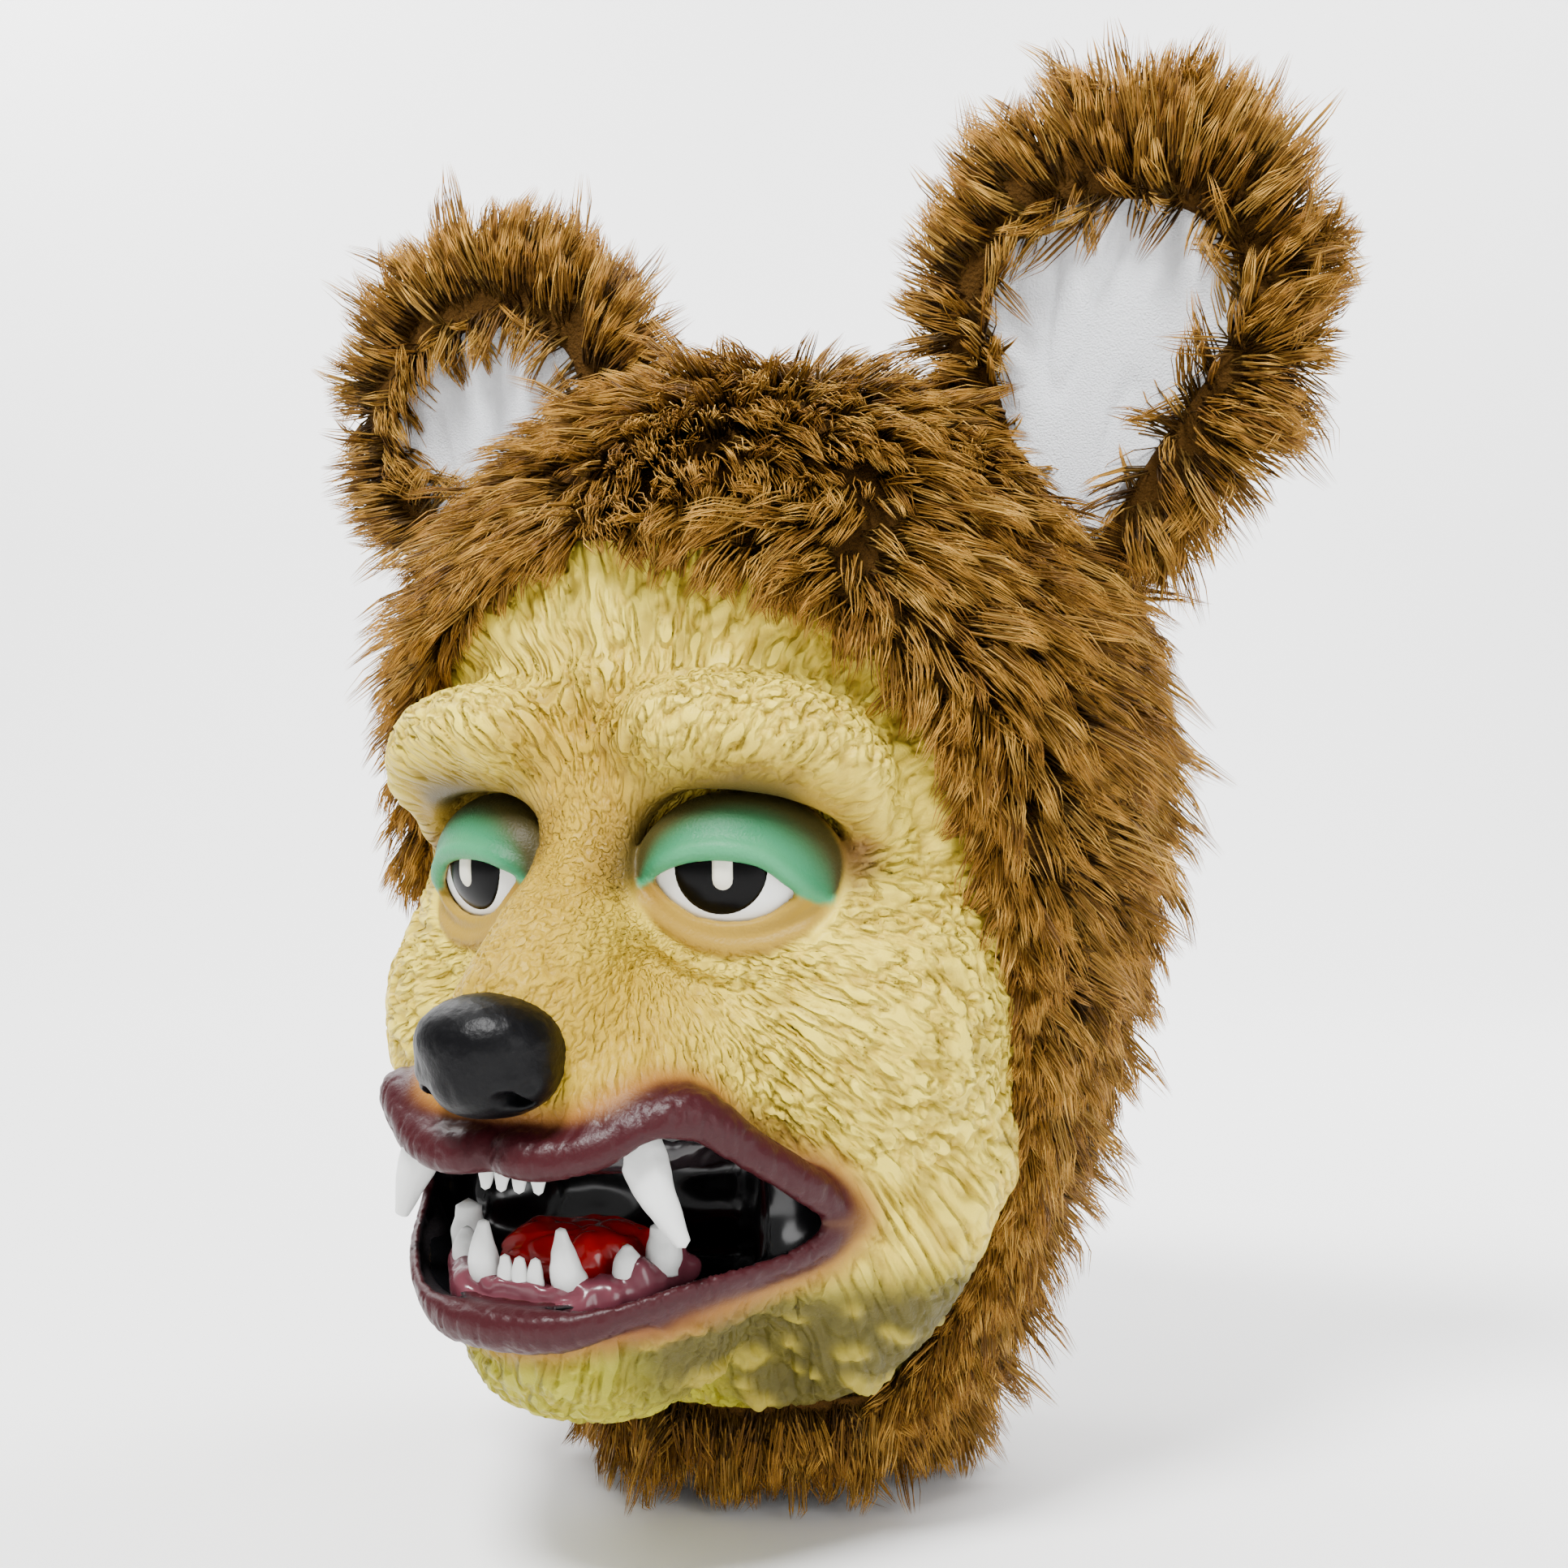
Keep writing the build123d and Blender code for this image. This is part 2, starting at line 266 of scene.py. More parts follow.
# ---- Clay: shapes joined and carved as signed distances on a grid ----
def ball(centre, radii):
    c = np.array(centre, dtype=np.float32)
    r = np.array(radii if hasattr(radii, "__len__") else (radii,) * 3, dtype=np.float32)

    def distance(x, y, z):
        dx, dy, dz = x - c[0], y - c[1], z - c[2]
        size = np.sqrt((dx / r[0]) ** 2 + (dy / r[1]) ** 2 + (dz / r[2]) ** 2)
        slope = np.sqrt((dx / r[0] ** 2) ** 2 + (dy / r[1] ** 2) ** 2 + (dz / r[2] ** 2) ** 2)
        return size * (size - 1) / np.maximum(slope, 1e-6)

    return distance, c - r, c + r


def eye_ball(grown, lift=0.0):
    """The eyeball's shape on the left side, with its radii made larger all round, and lifted."""
    round_ball, _, _ = ball((0, 0, lift), [r + grown for r in EYE_RADII])

    def distance(x, y, z):
        across, out, up = eye_coordinates(x, y, z)
        return round_ball(across, out, up)

    reach = np.array([EYE_RADII[0] + grown + lift] * 3)
    return distance, np.array(EYE_CENTRE) - reach, np.array(EYE_CENTRE) + reach


def rod(points, smooth=4):
    """A chain of round bars through (x, y, z, radius) points, on a smooth curve."""
    pts = open_curve(points, (len(points) - 1) * smooth + 1).astype(np.float32)

    def distance(x, y, z):
        best = None
        for (ax, ay, az, ar), (bx, by, bz, br) in zip(pts[:-1], pts[1:]):
            dx, dy, dz = bx - ax, by - ay, bz - az
            along = ((x - ax) * dx + (y - ay) * dy + (z - az) * dz) / (dx * dx + dy * dy + dz * dz)
            h = np.clip(along, 0, 1)
            d = np.sqrt((x - ax - dx * h) ** 2 + (y - ay - dy * h) ** 2 + (z - az - dz * h) ** 2)
            d = d - (ar + (br - ar) * h)
            best = d if best is None else np.minimum(best, d)
        return best

    middle, radius = pts[:, :3], pts[:, 3:]
    return distance, (middle - radius).min(axis=0), (middle + radius).max(axis=0)


def outline_distance(points, a, b):
    """Signed distance, in the plane, to a closed outline: negative inside."""
    pts = np.asarray(points, dtype=np.float32)
    best = np.full(np.broadcast(a, b).shape, 1e9, dtype=np.float32)
    inside = np.zeros(best.shape, dtype=bool)
    for (ax, az), (bx, bz) in zip(pts, np.roll(pts, -1, axis=0)):
        dx, dz = bx - ax, bz - az
        h = np.clip(((a - ax) * dx + (b - az) * dz) / (dx * dx + dz * dz + 1e-9), 0, 1)
        best = np.minimum(best, (a - ax - dx * h) ** 2 + (b - az - dz * h) ** 2)
        crosses = (az > b) != (bz > b)
        edge_a = ax + dx * (b - az) / (dz if abs(dz) > 1e-9 else 1e-9)
        inside ^= crosses & (a < edge_a)
    return np.where(inside, -1, 1) * np.sqrt(best)


class Clay:
    """A block of space whose grid holds, in millimetres, how far outside the shape each place is."""

    def __init__(self, low, high, step):
        self.low = np.array(low, dtype=np.float32)
        self.step = step
        self.count = np.ceil((np.array(high) - self.low) / step).astype(int) + 1
        self.axes = [self.low[i] + step * np.arange(self.count[i], dtype=np.float32) for i in range(3)]
        self.dist = np.full(self.count, 60.0, dtype=np.float32)

    def coordinates(self, part=None):
        sx, sy, sz = part or (slice(None),) * 3
        x, y, z = self.axes
        return x[sx][:, None, None], y[sy][None, :, None], z[sz][None, None, :]

    def around(self, low, high, margin):
        """The part of the grid that holds a box and a margin."""
        part = []
        for i in range(3):
            first = int(max(0, math.floor((low[i] - margin - self.low[i]) / self.step)))
            last = int(min(self.count[i], math.ceil((high[i] + margin - self.low[i]) / self.step) + 1))
            part.append(slice(first, max(first + 1, last)))
        return tuple(part)

    def add(self, shape, blend=1.0):
        distance, low, high = shape
        part = self.around(low, high, 2 * blend + 4)
        self.dist[part] = smooth_min(self.dist[part], distance(*self.coordinates(part)), blend)

    def carve(self, shape, blend=1.0):
        distance, low, high = shape
        part = self.around(low, high, 2 * blend + 4)
        self.dist[part] = smooth_max(self.dist[part], -distance(*self.coordinates(part)), blend)

    def section(self, outline):
        """The distance to an outline in x and z, the same all along y."""
        return outline_distance(outline, self.axes[0][:, None], self.axes[2][None, :])[:, None, :]

    def points(self):
        """Every place of the grid as a row."""
        return np.stack([a.ravel() for a in np.broadcast_arrays(*self.coordinates())], axis=1)

    def sample(self, points, field=None):
        """The distance at any points, between the grid's values."""
        field = self.dist if field is None else field
        at = (points - self.low) / self.step
        cell = np.clip(np.floor(at).astype(int), 0, self.count - 2)
        return between_corners(field, cell, at - cell)

    def skin(self, mirrored=True):
        """The surface as vertices in millimetres, triangles and quads."""
        field, low = self.dist, self.low.copy()
        if mirrored:
            field = np.concatenate([field[:0:-1], field], axis=0)
            low[0] = -(self.count[0] - 1) * self.step
        grid = openvdb.FloatGrid()
        grid.copyFromArray(np.ascontiguousarray(field))
        verts, tris, quads = grid.convertToPolygons(isovalue=0.0, adaptivity=0.0)
        verts = verts.astype(np.float64) * self.step + low
        quads = quads.astype(np.int64)
        tris = tris.astype(np.int64).reshape(-1, 3)
        a, b, c, d = (verts[quads[:, k]] for k in range(4))
        volume = sum(np.einsum("ij,ij->i", a, np.cross(*pair)).sum() for pair in ((b, c), (c, d)))
        if volume < 0:
            quads, tris = quads[:, ::-1], tris[:, ::-1]
        return verts, tris, quads


def vertex_normals(verts, tris, quads):
    normals = np.zeros_like(verts)
    for faces in (tris, quads):
        if len(faces) == 0:
            continue
        across = np.cross(verts[faces[:, 2]] - verts[faces[:, 0]], verts[faces[:, -1]] - verts[faces[:, 1]])
        for k in range(faces.shape[1]):
            np.add.at(normals, faces[:, k], across)
    return unit(normals)


# ---- Materials ----
def material(name, colour, roughness=0.5, **sockets):
    mat = bpy.data.materials.new(name)
    mat.use_nodes = True
    shader = mat.node_tree.nodes["Principled BSDF"]
    shader.inputs["Base Color"].default_value = (*colour, 1)
    shader.inputs["Roughness"].default_value = roughness
    for socket, value in sockets.items():
        shader.inputs[socket.replace("_", " ")].default_value = value
    return mat


def add_bump(mat, scale, distance, detail=3.0):
    """Fine unevenness from solid noise, its height in metres."""
    nodes, links = mat.node_tree.nodes, mat.node_tree.links
    where = nodes.new("ShaderNodeTexCoord")
    noise = nodes.new("ShaderNodeTexNoise")
    noise.inputs["Scale"].default_value = scale
    noise.inputs["Detail"].default_value = detail
    bump = nodes.new("ShaderNodeBump")
    bump.inputs["Distance"].default_value = distance
    links.new(where.outputs["Object"], noise.inputs["Vector"])
    links.new(noise.outputs["Fac"], bump.inputs["Height"])
    links.new(bump.outputs["Normal"], nodes["Principled BSDF"].inputs["Normal"])
    return mat


def painted(mat):
    """Takes the base colour from the paint laid on the mesh's vertices."""
    nodes, links = mat.node_tree.nodes, mat.node_tree.links
    paint = nodes.new("ShaderNodeAttribute")
    paint.attribute_name = "paint"
    links.new(paint.outputs["Color"], nodes["Principled BSDF"].inputs["Base Color"])
    return mat


def lay_values(piece, name, kind, field, values):
    """Stores a value for each vertex, for a material to read."""
    layer = piece.data.attributes.new(name, kind, "POINT")
    layer.data.foreach_set(field, np.ascontiguousarray(values, dtype=np.float32).ravel())


def lay_paint(piece, colours):
    layer = piece.data.color_attributes.new("paint", "FLOAT_COLOR", "POINT")
    rgba = np.ones((len(colours), 4), dtype=np.float32)
    rgba[:, :3] = colours
    layer.data.foreach_set("color", rgba.ravel())


def use(piece, mat):
    piece.data.materials.clear()
    piece.data.materials.append(mat)


def add_hairs(mat, depth, width=0.11, wash_and_shade=(0.86, 0.79, 0.66)):
    """Engraved hairs that follow the flow laid on the mesh's vertices, with their grooves darkened: partly
    wash, partly painted shade.
    """
    nodes, links = mat.node_tree.nodes, mat.node_tree.links
    flow, share = nodes.new("ShaderNodeAttribute"), nodes.new("ShaderNodeAttribute")
    flow.attribute_name, share.attribute_name = "hair_flow", "hair_share"
    noise = nodes.new("ShaderNodeTexNoise")
    noise.inputs["Scale"].default_value = 1.0
    noise.inputs["Detail"].default_value = 1.5
    links.new(flow.outputs["Vector"], noise.inputs["Vector"])
    value = noise.outputs["Fac"]
    valley = ("SUBTRACT", 0.5), ("ABSOLUTE", 0), ("DIVIDE", width), ("MINIMUM", 1), ("MULTIPLY_ADD", -1)
    for operation, number in valley:
        step = nodes.new("ShaderNodeMath")
        step.operation = operation
        step.inputs[1].default_value = number
        step.inputs[2].default_value = 1
        links.new(value, step.inputs[0])
        value = step.outputs["Value"]
    groove = nodes.new("ShaderNodeMath")
    groove.operation = "MULTIPLY"
    links.new(value, groove.inputs[0])
    links.new(share.outputs["Fac"], groove.inputs[1])
    bump = nodes.new("ShaderNodeBump")
    bump.invert = True
    bump.inputs["Distance"].default_value = depth
    links.new(groove.outputs["Value"], bump.inputs["Height"])
    fine = next(node for node in nodes if node.type == "BUMP" and node != bump)
    links.new(bump.outputs["Normal"], fine.inputs["Normal"])
    colour = nodes["Principled BSDF"].inputs["Base Color"]
    # Darkens the colour in the grooves: partly wash, partly painted shade.
    groove_darkening = nodes.new("ShaderNodeMixRGB")
    groove_darkening.blend_type = "MULTIPLY"
    groove_darkening.inputs["Color2"].default_value = (*wash_and_shade, 1)
    links.new(colour.links[0].from_socket, groove_darkening.inputs["Color1"])
    links.new(groove.outputs["Value"], groove_darkening.inputs["Fac"])
    links.new(groove_darkening.outputs["Color"], colour)
    return mat


def shiny(name, colour, roughness, specular):
    return material(name, colour, roughness, Specular_IOR_Level=specular)


LATEX = painted(shiny("latex_paint", (0.84, 0.54, 0.05), 0.44, 0.15))
LIP_LATEX = painted(shiny("lip_paint", (0.03, 0.004, 0.006), 0.40, 0.20))
BLACK_SATIN = shiny("nose_black", (0.0015, 0.0015, 0.002), 0.40, 0.13)
MOUTH_BLACK = shiny("mouth_black", (0.003, 0.003, 0.0035), 0.17, 0.45)
TONGUE_RED = shiny("tongue_red", (0.42, 0.0030, 0.0050), 0.18, 0.5)
GUM_PINK = material("gum_pink", (0.120, 0.028, 0.040), 0.24)
GUM_BLACK = material("gum_black", (0.008, 0.005, 0.006), 0.22)
TOOTH_WHITE = material("tooth_white", (0.72, 0.73, 0.71), 0.34)
EYE_WHITE = material("eye_white", (0.86, 0.87, 0.84), 0.28)
IRIS_BLACK = shiny("iris_black", (0.0015, 0.0015, 0.0015), 0.26, 0.09)
HIGHLIGHT_CREAM = material("highlight_cream", (0.72, 0.70, 0.58), 0.35)
PLUSH_WHITE = material("plush_white", (0.68, 0.70, 0.73), 0.95, Sheen_Weight=0.3)
LINING_DARK = material("lining_cloth", (0.055, 0.035, 0.022), 0.9)
UNDERCOAT = shiny("undercoat", (0.050, 0.022, 0.003), 0.95, 0.1)
ELASTIC = material("elastic_band", (0.02, 0.02, 0.02), 0.8)
FOAM = material("ear_foam", (0.70, 0.68, 0.56), 0.9)

# The noise's scale for each, the bump's height in metres and the noise's detail.
for finish, scale, height, detail in (
    (LATEX, 1100, 0.00022, 3),
    (LIP_LATEX, 900, 0.00015, 3),
    (BLACK_SATIN, 700, 0.00015, 3),
    (TOOTH_WHITE, 260, 0.0003, 3),
    (PLUSH_WHITE, 1500, 0.0008, 2),
    (LINING_DARK, 1400, 0.0004, 3),
    (UNDERCOAT, 700, 0.002, 3),
    (ELASTIC, 1600, 0.0003, 3),
    (FOAM, 1200, 0.0006, 3),
):
    add_bump(finish, scale, height, detail)
add_hairs(LATEX, 0.0019)


# ---- The face ----
# Bars are points of x, y, z and radius, and balls are a centre and radii, all on the left half.
BRIDGE = [(0, -96, 238, 19), (0, -101, 215, 18.5), (0, -112, 190, 18), (0, -134, 166, 21), (0, -147, 148, 24)]
MUZZLE = ((0, -108, 122), (57, 52, 42))
CHEEK = ((62, -66, 138), (48, 46, 54))
JAW_LINE = [(84, -48, 98, 24), (70, -62, 64, 24), (46, -70, 46, 24), (0, -72, 42, 24)]
BROW_VALLEY = [
    (0, -118, 262, 3), (22, -117, 253, 4), (50, -108, 256, 5), (78, -90, 248, 5), (90, -80, 232, 3),
]
BROW = [
    (17, -120, 231, 8), (31, -121, 233, 13), (51, -114, 232, 15), (69, -106, 228, 14.5), (81, -97, 219, 11),
]
BROW_UNDERSIDE = [(22, -112, 218, 7), (44, -111, 218, 8), (68, -99, 214, 8), (82, -87, 205, 6)]
UPPER_LIP_PAD = ((23, -135, 119), (29, 27, 19))
LOWER_JAW = ((0, -110, 72), (61, 49, 36))
JOWL = ((42, -71, 82), (47, 42, 36))
CHIN = ((0, -115, 52), (40, 42, 28))
BAG_PAD = [(22, -118, 176, 7), (40, -110, 166, 8), (62, -98, 166, 8), (76, -84, 176, 7)]
CHIN_DENT = [(47, -119, 60, 3), (52, -103, 46, 7), (50, -88, 30, 9)]
CHEEK_DENT = [(103, -58, 152, 1), (99, -62, 128, 2), (92, -72, 104, 2)]
LIP_CLEFT = [(0, -181, 124, 1.0), (0, -177, 112, 2.2), (0, -172, 100, 2.6)]
LIP_UPPER = [
    (0, -161, 111, 7.0), (9, -165, 110.5, 8.2), (21, -163, 110.5, 8.2), (34, -156, 114.5, 8.6),
    (50, -144, 122.5, 8.2), (60, -129, 111, 6.8), (69, -110, 98, 6.5), (73, -96, 88, 5.8),
]
LIP_LOWER = [
    (0, -164, 63, 7.6), (18, -161, 64, 7.6), (36, -149, 70, 6.6),
    (54, -128, 76, 6.0), (67, -108, 80, 5.8), (73, -96, 88, 5.8),
]
# On the eye's face: across toward the temple and up, then a lid's thickness.
LID_UPPER = [
    (-29, -3, 2.2), (-23.5, 1.6, 2.8), (-15.5, 4.8, 3.1), (-4, 5.8, 3.3),
    (8, 3.4, 3.2), (17, -3.4, 3.0), (24, -8, 2.2),
]
LID_LOWER = [
    (-27, -3.5, 1.8), (-22, -9.6, 2.0), (-14, -15.2, 2.1), (-4, -17.4, 2.2),
    (6, -16.4, 2.2), (13.5, -12.8, 2.1), (19, -8, 2.0),
]
EYE_OUTLINE = [
    (-26, -2.5), (-22, 1.2), (-15.5, 3.8), (-4, 4.6), (8, 2.2), (15, -3),
    (17.8, -6.5), (13, -11.8), (5.5, -15.4), (-4, -16.4), (-14, -14.2), (-21.5, -8.6),
]
LID_EDGE = [
    (-29, -4.6), (-23.5, -1.2), (-15.7, 1.7), (-4, 2.4),
    (7.6, -0.1), (16.7, -6.6), (23, -9.8), (29, -9.8),
]
LID_REACH = (30.5, 23.0)
BAG = [(-32, -4), (-29, -11), (-23, -19), (-14, -25), (-3, -27.5), (9, -26), (20, -20), (28, -12), (32, -5)]
# Across and up on the left half, seen from the front.
MOUTH_OUTLINE = [
    (0, 106), (17, 105), (34, 109), (48, 117), (60, 106),
    (71, 89), (66, 80.5), (50, 76), (30, 70), (0, 69),
]


def head_block(clay):
    """The round head under the hood's profile."""
    x, y, _ = clay.coordinates()
    radius = (hood_radius(clay.axes[2]) - SKIN_INSET).astype(np.float32)[None, None, :]
    clay.dist = np.sqrt(x**2 + y**2) - radius


def model_face(clay):
    """Half of the face, for x of 0 and more, up to but without its openings."""
    head_block(clay)
    add, carve = clay.add, clay.carve
    for work, shape, blend in (
        (add, rod(BRIDGE), 16),
        (add, ball(*MUZZLE), 14),
        (add, ball(*CHEEK), 20),
        (add, rod(JAW_LINE), 16),
        (carve, rod(BROW_VALLEY), 9),
        (add, rod(BROW_UNDERSIDE), 12),
        (add, rod(BROW), 9),
        (add, ball(*UPPER_LIP_PAD), 9),
        (add, ball(*LOWER_JAW), 8),
        (add, ball(*JOWL), 14),
        (add, ball(*CHIN), 8),
        (add, rod(BAG_PAD), 8),
        (carve, eye_ball(3.6, 4.0), 8),
        (add, eye_ball(3.4), 3),
        (carve, rod(CHIN_DENT), 10),
        (carve, rod(CHEEK_DENT), 8),
        (add, eye_ball(2.4), 1),
        (add, rod(LIP_UPPER), 4),
        (add, rod(LIP_LOWER), 4),
        (carve, rod(LIP_CLEFT), 4),
    ):
        work(shape, blend)


def open_face(clay):
    """Opens the mouth and the eyes, hollows the head and cuts it off under the fur."""
    solid = clay.dist.copy()
    x, y, z = clay.coordinates()
    both_halves = MOUTH_OUTLINE + [(-a, b) for a, b in MOUTH_OUTLINE[-2:0:-1]]
    mouth = clay.section(closed_curve(both_halves, 120))
    opened = smooth_max(solid, -np.maximum(mouth, y + 60), 3)
    across, out, up = np.broadcast_arrays(*eye_coordinates(x, y, z))
    near = (np.abs(across) < 36) & (np.abs(up) < 28) & (out > 0)
    eye = np.full(solid.shape, 20.0, dtype=np.float32)
    eye[near] = outline_distance(closed_curve(EYE_OUTLINE, 64), across[near], up[near])
    clay.dist = smooth_max(opened, -eye, 1.5)
    clay.add(rod(eye_rod(LID_UPPER, 2.0)), 1.5)
    clay.add(rod(eye_rod(LID_LOWER, 1.6)), 2)
    inner = np.minimum(solid + LATEX_THICK, eye_ball(0.15)[0](x, y, z))
    shell = np.maximum(clay.dist, -inner)
    edge = (face_edge_y(clay.axes[2]) + 8).astype(np.float32)[None, None, :]
    shell = np.maximum(shell, (y - edge) * 0.9)
    shell = np.maximum(shell, z - (FACE_TOP_Z + 6))
    clay.dist = np.maximum(shell, FACE_BOTTOM_Z - z)
    return solid


def hair_flow(points, centre, across, along, stretch):
    """Noise space in which a hair is long away from a centre and narrow round it."""
    away = points - np.array(centre)
    distance = np.linalg.norm(away, axis=1, keepdims=True)
    return away / distance * across + distance / (along * np.array([1.0, -1.0, stretch]))


# A centre, how close the hairs lie round it, how long they are, and a stroke's width or a flow's stretch.
LONG_STROKES = ((0, -95, 168), 24, 15, 0.15)
SHORT_STROKES = ((0, -100, 160), 33, 10, 0.18)
FINE_HAIRS = ((0, -98, 164), 19, 15, 1.6)
GROOVE_DEPTH = 1.9


def strokes(points, noise, centre, across, along, width):
    """Engraved hairs that run away from a centre: 0 on plain skin, 1 at the bottom of a stroke."""
    value = noise(hair_flow(points, centre, across, along, 1.7))
    broken = smoothstep(-0.35, 0.15, noise(points / (0.7 * along) + 50))
    return np.exp(-(value / width) ** 2) * broken


def bag_groove(across, up):
    """How far out of the shallow groove under the eye's bag a place is, in millimetres: negative above it."""
    groove = np.array(BAG, dtype=float)
    return along_curve(BAG, across) - up + 100.0 * (np.abs(across) > groove[-1, 0])


def rod_distance(points, rod_points):
    return rod(rod_points)[0](*folded(points).T)


def along_curve(curve, across):
    """The curve's height at each place across the eye."""
    return np.interp(across, [p[0] for p in curve], [p[1] for p in curve])


def face_relief(points):
    """The push along the surface of wrinkles, hairs and warts, the grooves' part in it, and where hair is."""
    coarse, fine, warp = Noise(3), Noise(4), Noise(5)
    shifted = points + 4.0 * np.stack([warp(points / 15 + k) for k in (0, 20, 40)], axis=1)
    x, y, z = folded(points).T
    hairs = strokes(shifted, coarse, *LONG_STROKES)
    short = strokes(shifted, fine, *SHORT_STROKES)
    from_lips = np.minimum(rod_distance(points, LIP_UPPER), rod_distance(points, LIP_LOWER))
    across, out, up = eye_coordinates(x, y, z)
    from_eye = np.sqrt((across / 33) ** 2 + ((up - 1) / 25) ** 2)
    plain = smoothstep(1, 9, from_lips) * np.maximum(smoothstep(0.95, 1.15, from_eye), out < -4)
    forehead = smoothstep(210, 235, z)
    cheek = smoothstep(38, 66, x) * smoothstep(212, 180, z)
    jaw = smoothstep(78, 52, z)
    rough = np.maximum(forehead, np.maximum(cheek, jaw))
    grooves = (0.90 + 1.10 * rough) * hairs + (0.75 + 0.85 * rough) * short
    grooves = plain * (grooves + jaw * 0.8 * np.exp(-(fine(points / 3.4 + 30) / 0.25) ** 2))
    grooves = GROOVE_DEPTH * np.tanh(grooves / GROOVE_DEPTH)
    swell = 0.60 * coarse(points / 9) + 0.40 * fine(points / 4.5)
    push = plain * swell * (0.35 + 0.65 * rough) - grooves
    push += 0.12 * (1 - plain) * fine(points / 6)
    push -= 0.45 * smoothstep(3, 0, from_lips) * np.exp(-(coarse(points / [2.4, 5.0, 9.0]) / 0.16) ** 2)
    beyond = bag_groove(across, up)
    near = (out > 0) * smoothstep(34, 26, np.abs(across))
    push += near * (0.8 * np.exp(-((beyond - 4.5) / 2.6) ** 2) - 1.3 * np.exp(-(beyond / 2.4) ** 2))
    hairy = plain * (0.35 + 0.65 * rough) * (1 - 0.65 * jaw * smoothstep(22, 42, x))
    return push + warts(points), grooves, hairy


def warts(points):
    """The height of the small warts under the jaw."""
    rng = np.random.default_rng(11)
    height = np.zeros(len(points))
    for _ in range(26):
        spot_x, spot_z = rng.uniform(34, 86), rng.uniform(24, 62)
        flat = np.hypot(np.abs(points[:, 0]) - spot_x, points[:, 2] - spot_z)
        height += rng.uniform(1.6, 2.8) * np.exp(-(flat / rng.uniform(1.8, 2.8)) ** 2)
    return height * smoothstep(-12, -16, points[:, 1])


def mix(colours, other, amount):
    """Moves each colour toward another by its own amount, from 0 to 1."""
    return colours * (1 - amount[:, None]) + np.array(other) * amount[:, None]


CREAM = (0.87, 0.70, 0.078)
TAN = (0.56, 0.37, 0.024)
CENTRE_TAN = (0.37, 0.210, 0.009)
BORDER_TAN = (0.44, 0.28, 0.032)
# Brown for the wrinkles: partly wash, partly painted shade in the grooves.
GROOVE_WASH_AND_SHADE = (0.20, 0.105, 0.008)
CHIN_OLIVE = (0.30, 0.29, 0.014)
# Dark olive under the jaw: olive paint darkened with painted shade.
JAW_OLIVE_AND_SHADE = (0.044, 0.033, 0.009)
# A painted highlight on the warts' tops.
WART_TOP_HIGHLIGHT = (0.34, 0.27, 0.030)
# The socket and crease colours are brown paint that also carries painted shade under the brow.
SOCKET_BROWN_AND_SHADE = (0.19, 0.100, 0.014)
CREASE_SHADE_AND_PAINT = (0.050, 0.039, 0.010)
# The bag's colour is brown paint that also carries painted shade under the eye.
BAG_BROWN_AND_SHADE = (0.20, 0.090, 0.009)
CORNER_RED = (0.14, 0.050, 0.032)
LID_TEAL = (0.022, 0.170, 0.072)
LID_LIGHT = (0.058, 0.300, 0.135)
LID_DARK = (0.042, 0.030, 0.006)
LIP_WASH = (0.22, 0.070, 0.020)
LIP_PLUM = (0.034, 0.0045, 0.0065)
BARE_LATEX = (0.42, 0.27, 0.05)
BEHIND_LIPS = (0.012, 0.010, 0.011)


def skin_paint(points, grooves):
    """The sprayed base: cream, and tan down the middle. The wrinkles take brown, partly wash and partly
    painted shade; under the jaw olive paint is darkened with painted shade, and the warts' tops get a painted
    highlight.
    """
    tint = Noise(8)
    x, y, z = folded(points).T
    colours = np.tile(CREAM, (len(points), 1))
    colours = mix(colours, TAN, 0.36 * (0.5 + 0.5 * tint(points / 30)))
    centre = smoothstep(36, 10, x) * smoothstep(118, 140, z) * smoothstep(268, 230, z)
    muzzle = smoothstep(66, 34, np.hypot(x, 1.1 * (z - 132)))
    colours = mix(colours, CENTRE_TAN, 0.80 * np.maximum(centre, muzzle))
    edge = smoothstep(-62, -30, y) * smoothstep(70, 100, z)
    colours = mix(colours, BORDER_TAN, 0.60 * edge)
    # The wrinkles' brown: partly wash, partly painted shade in the grooves.
    colours = mix(colours, GROOVE_WASH_AND_SHADE, np.clip(grooves, 0, 1.4) * 0.36)
    chin = smoothstep(74, 54, z)
    colours = mix(colours, CHIN_OLIVE, 0.85 * chin)
    # Under the jaw: olive paint, darkened further with painted shade.
    jaw_olive_and_shade = smoothstep(78, 58, z) * smoothstep(18, 40, x)
    colours = mix(colours, JAW_OLIVE_AND_SHADE, 0.90 * jaw_olive_and_shade)
    # A painted highlight on the warts' tops.
    return mix(colours, WART_TOP_HIGHLIGHT, 0.8 * np.clip(warts(points) / 1.8, 0, 1))


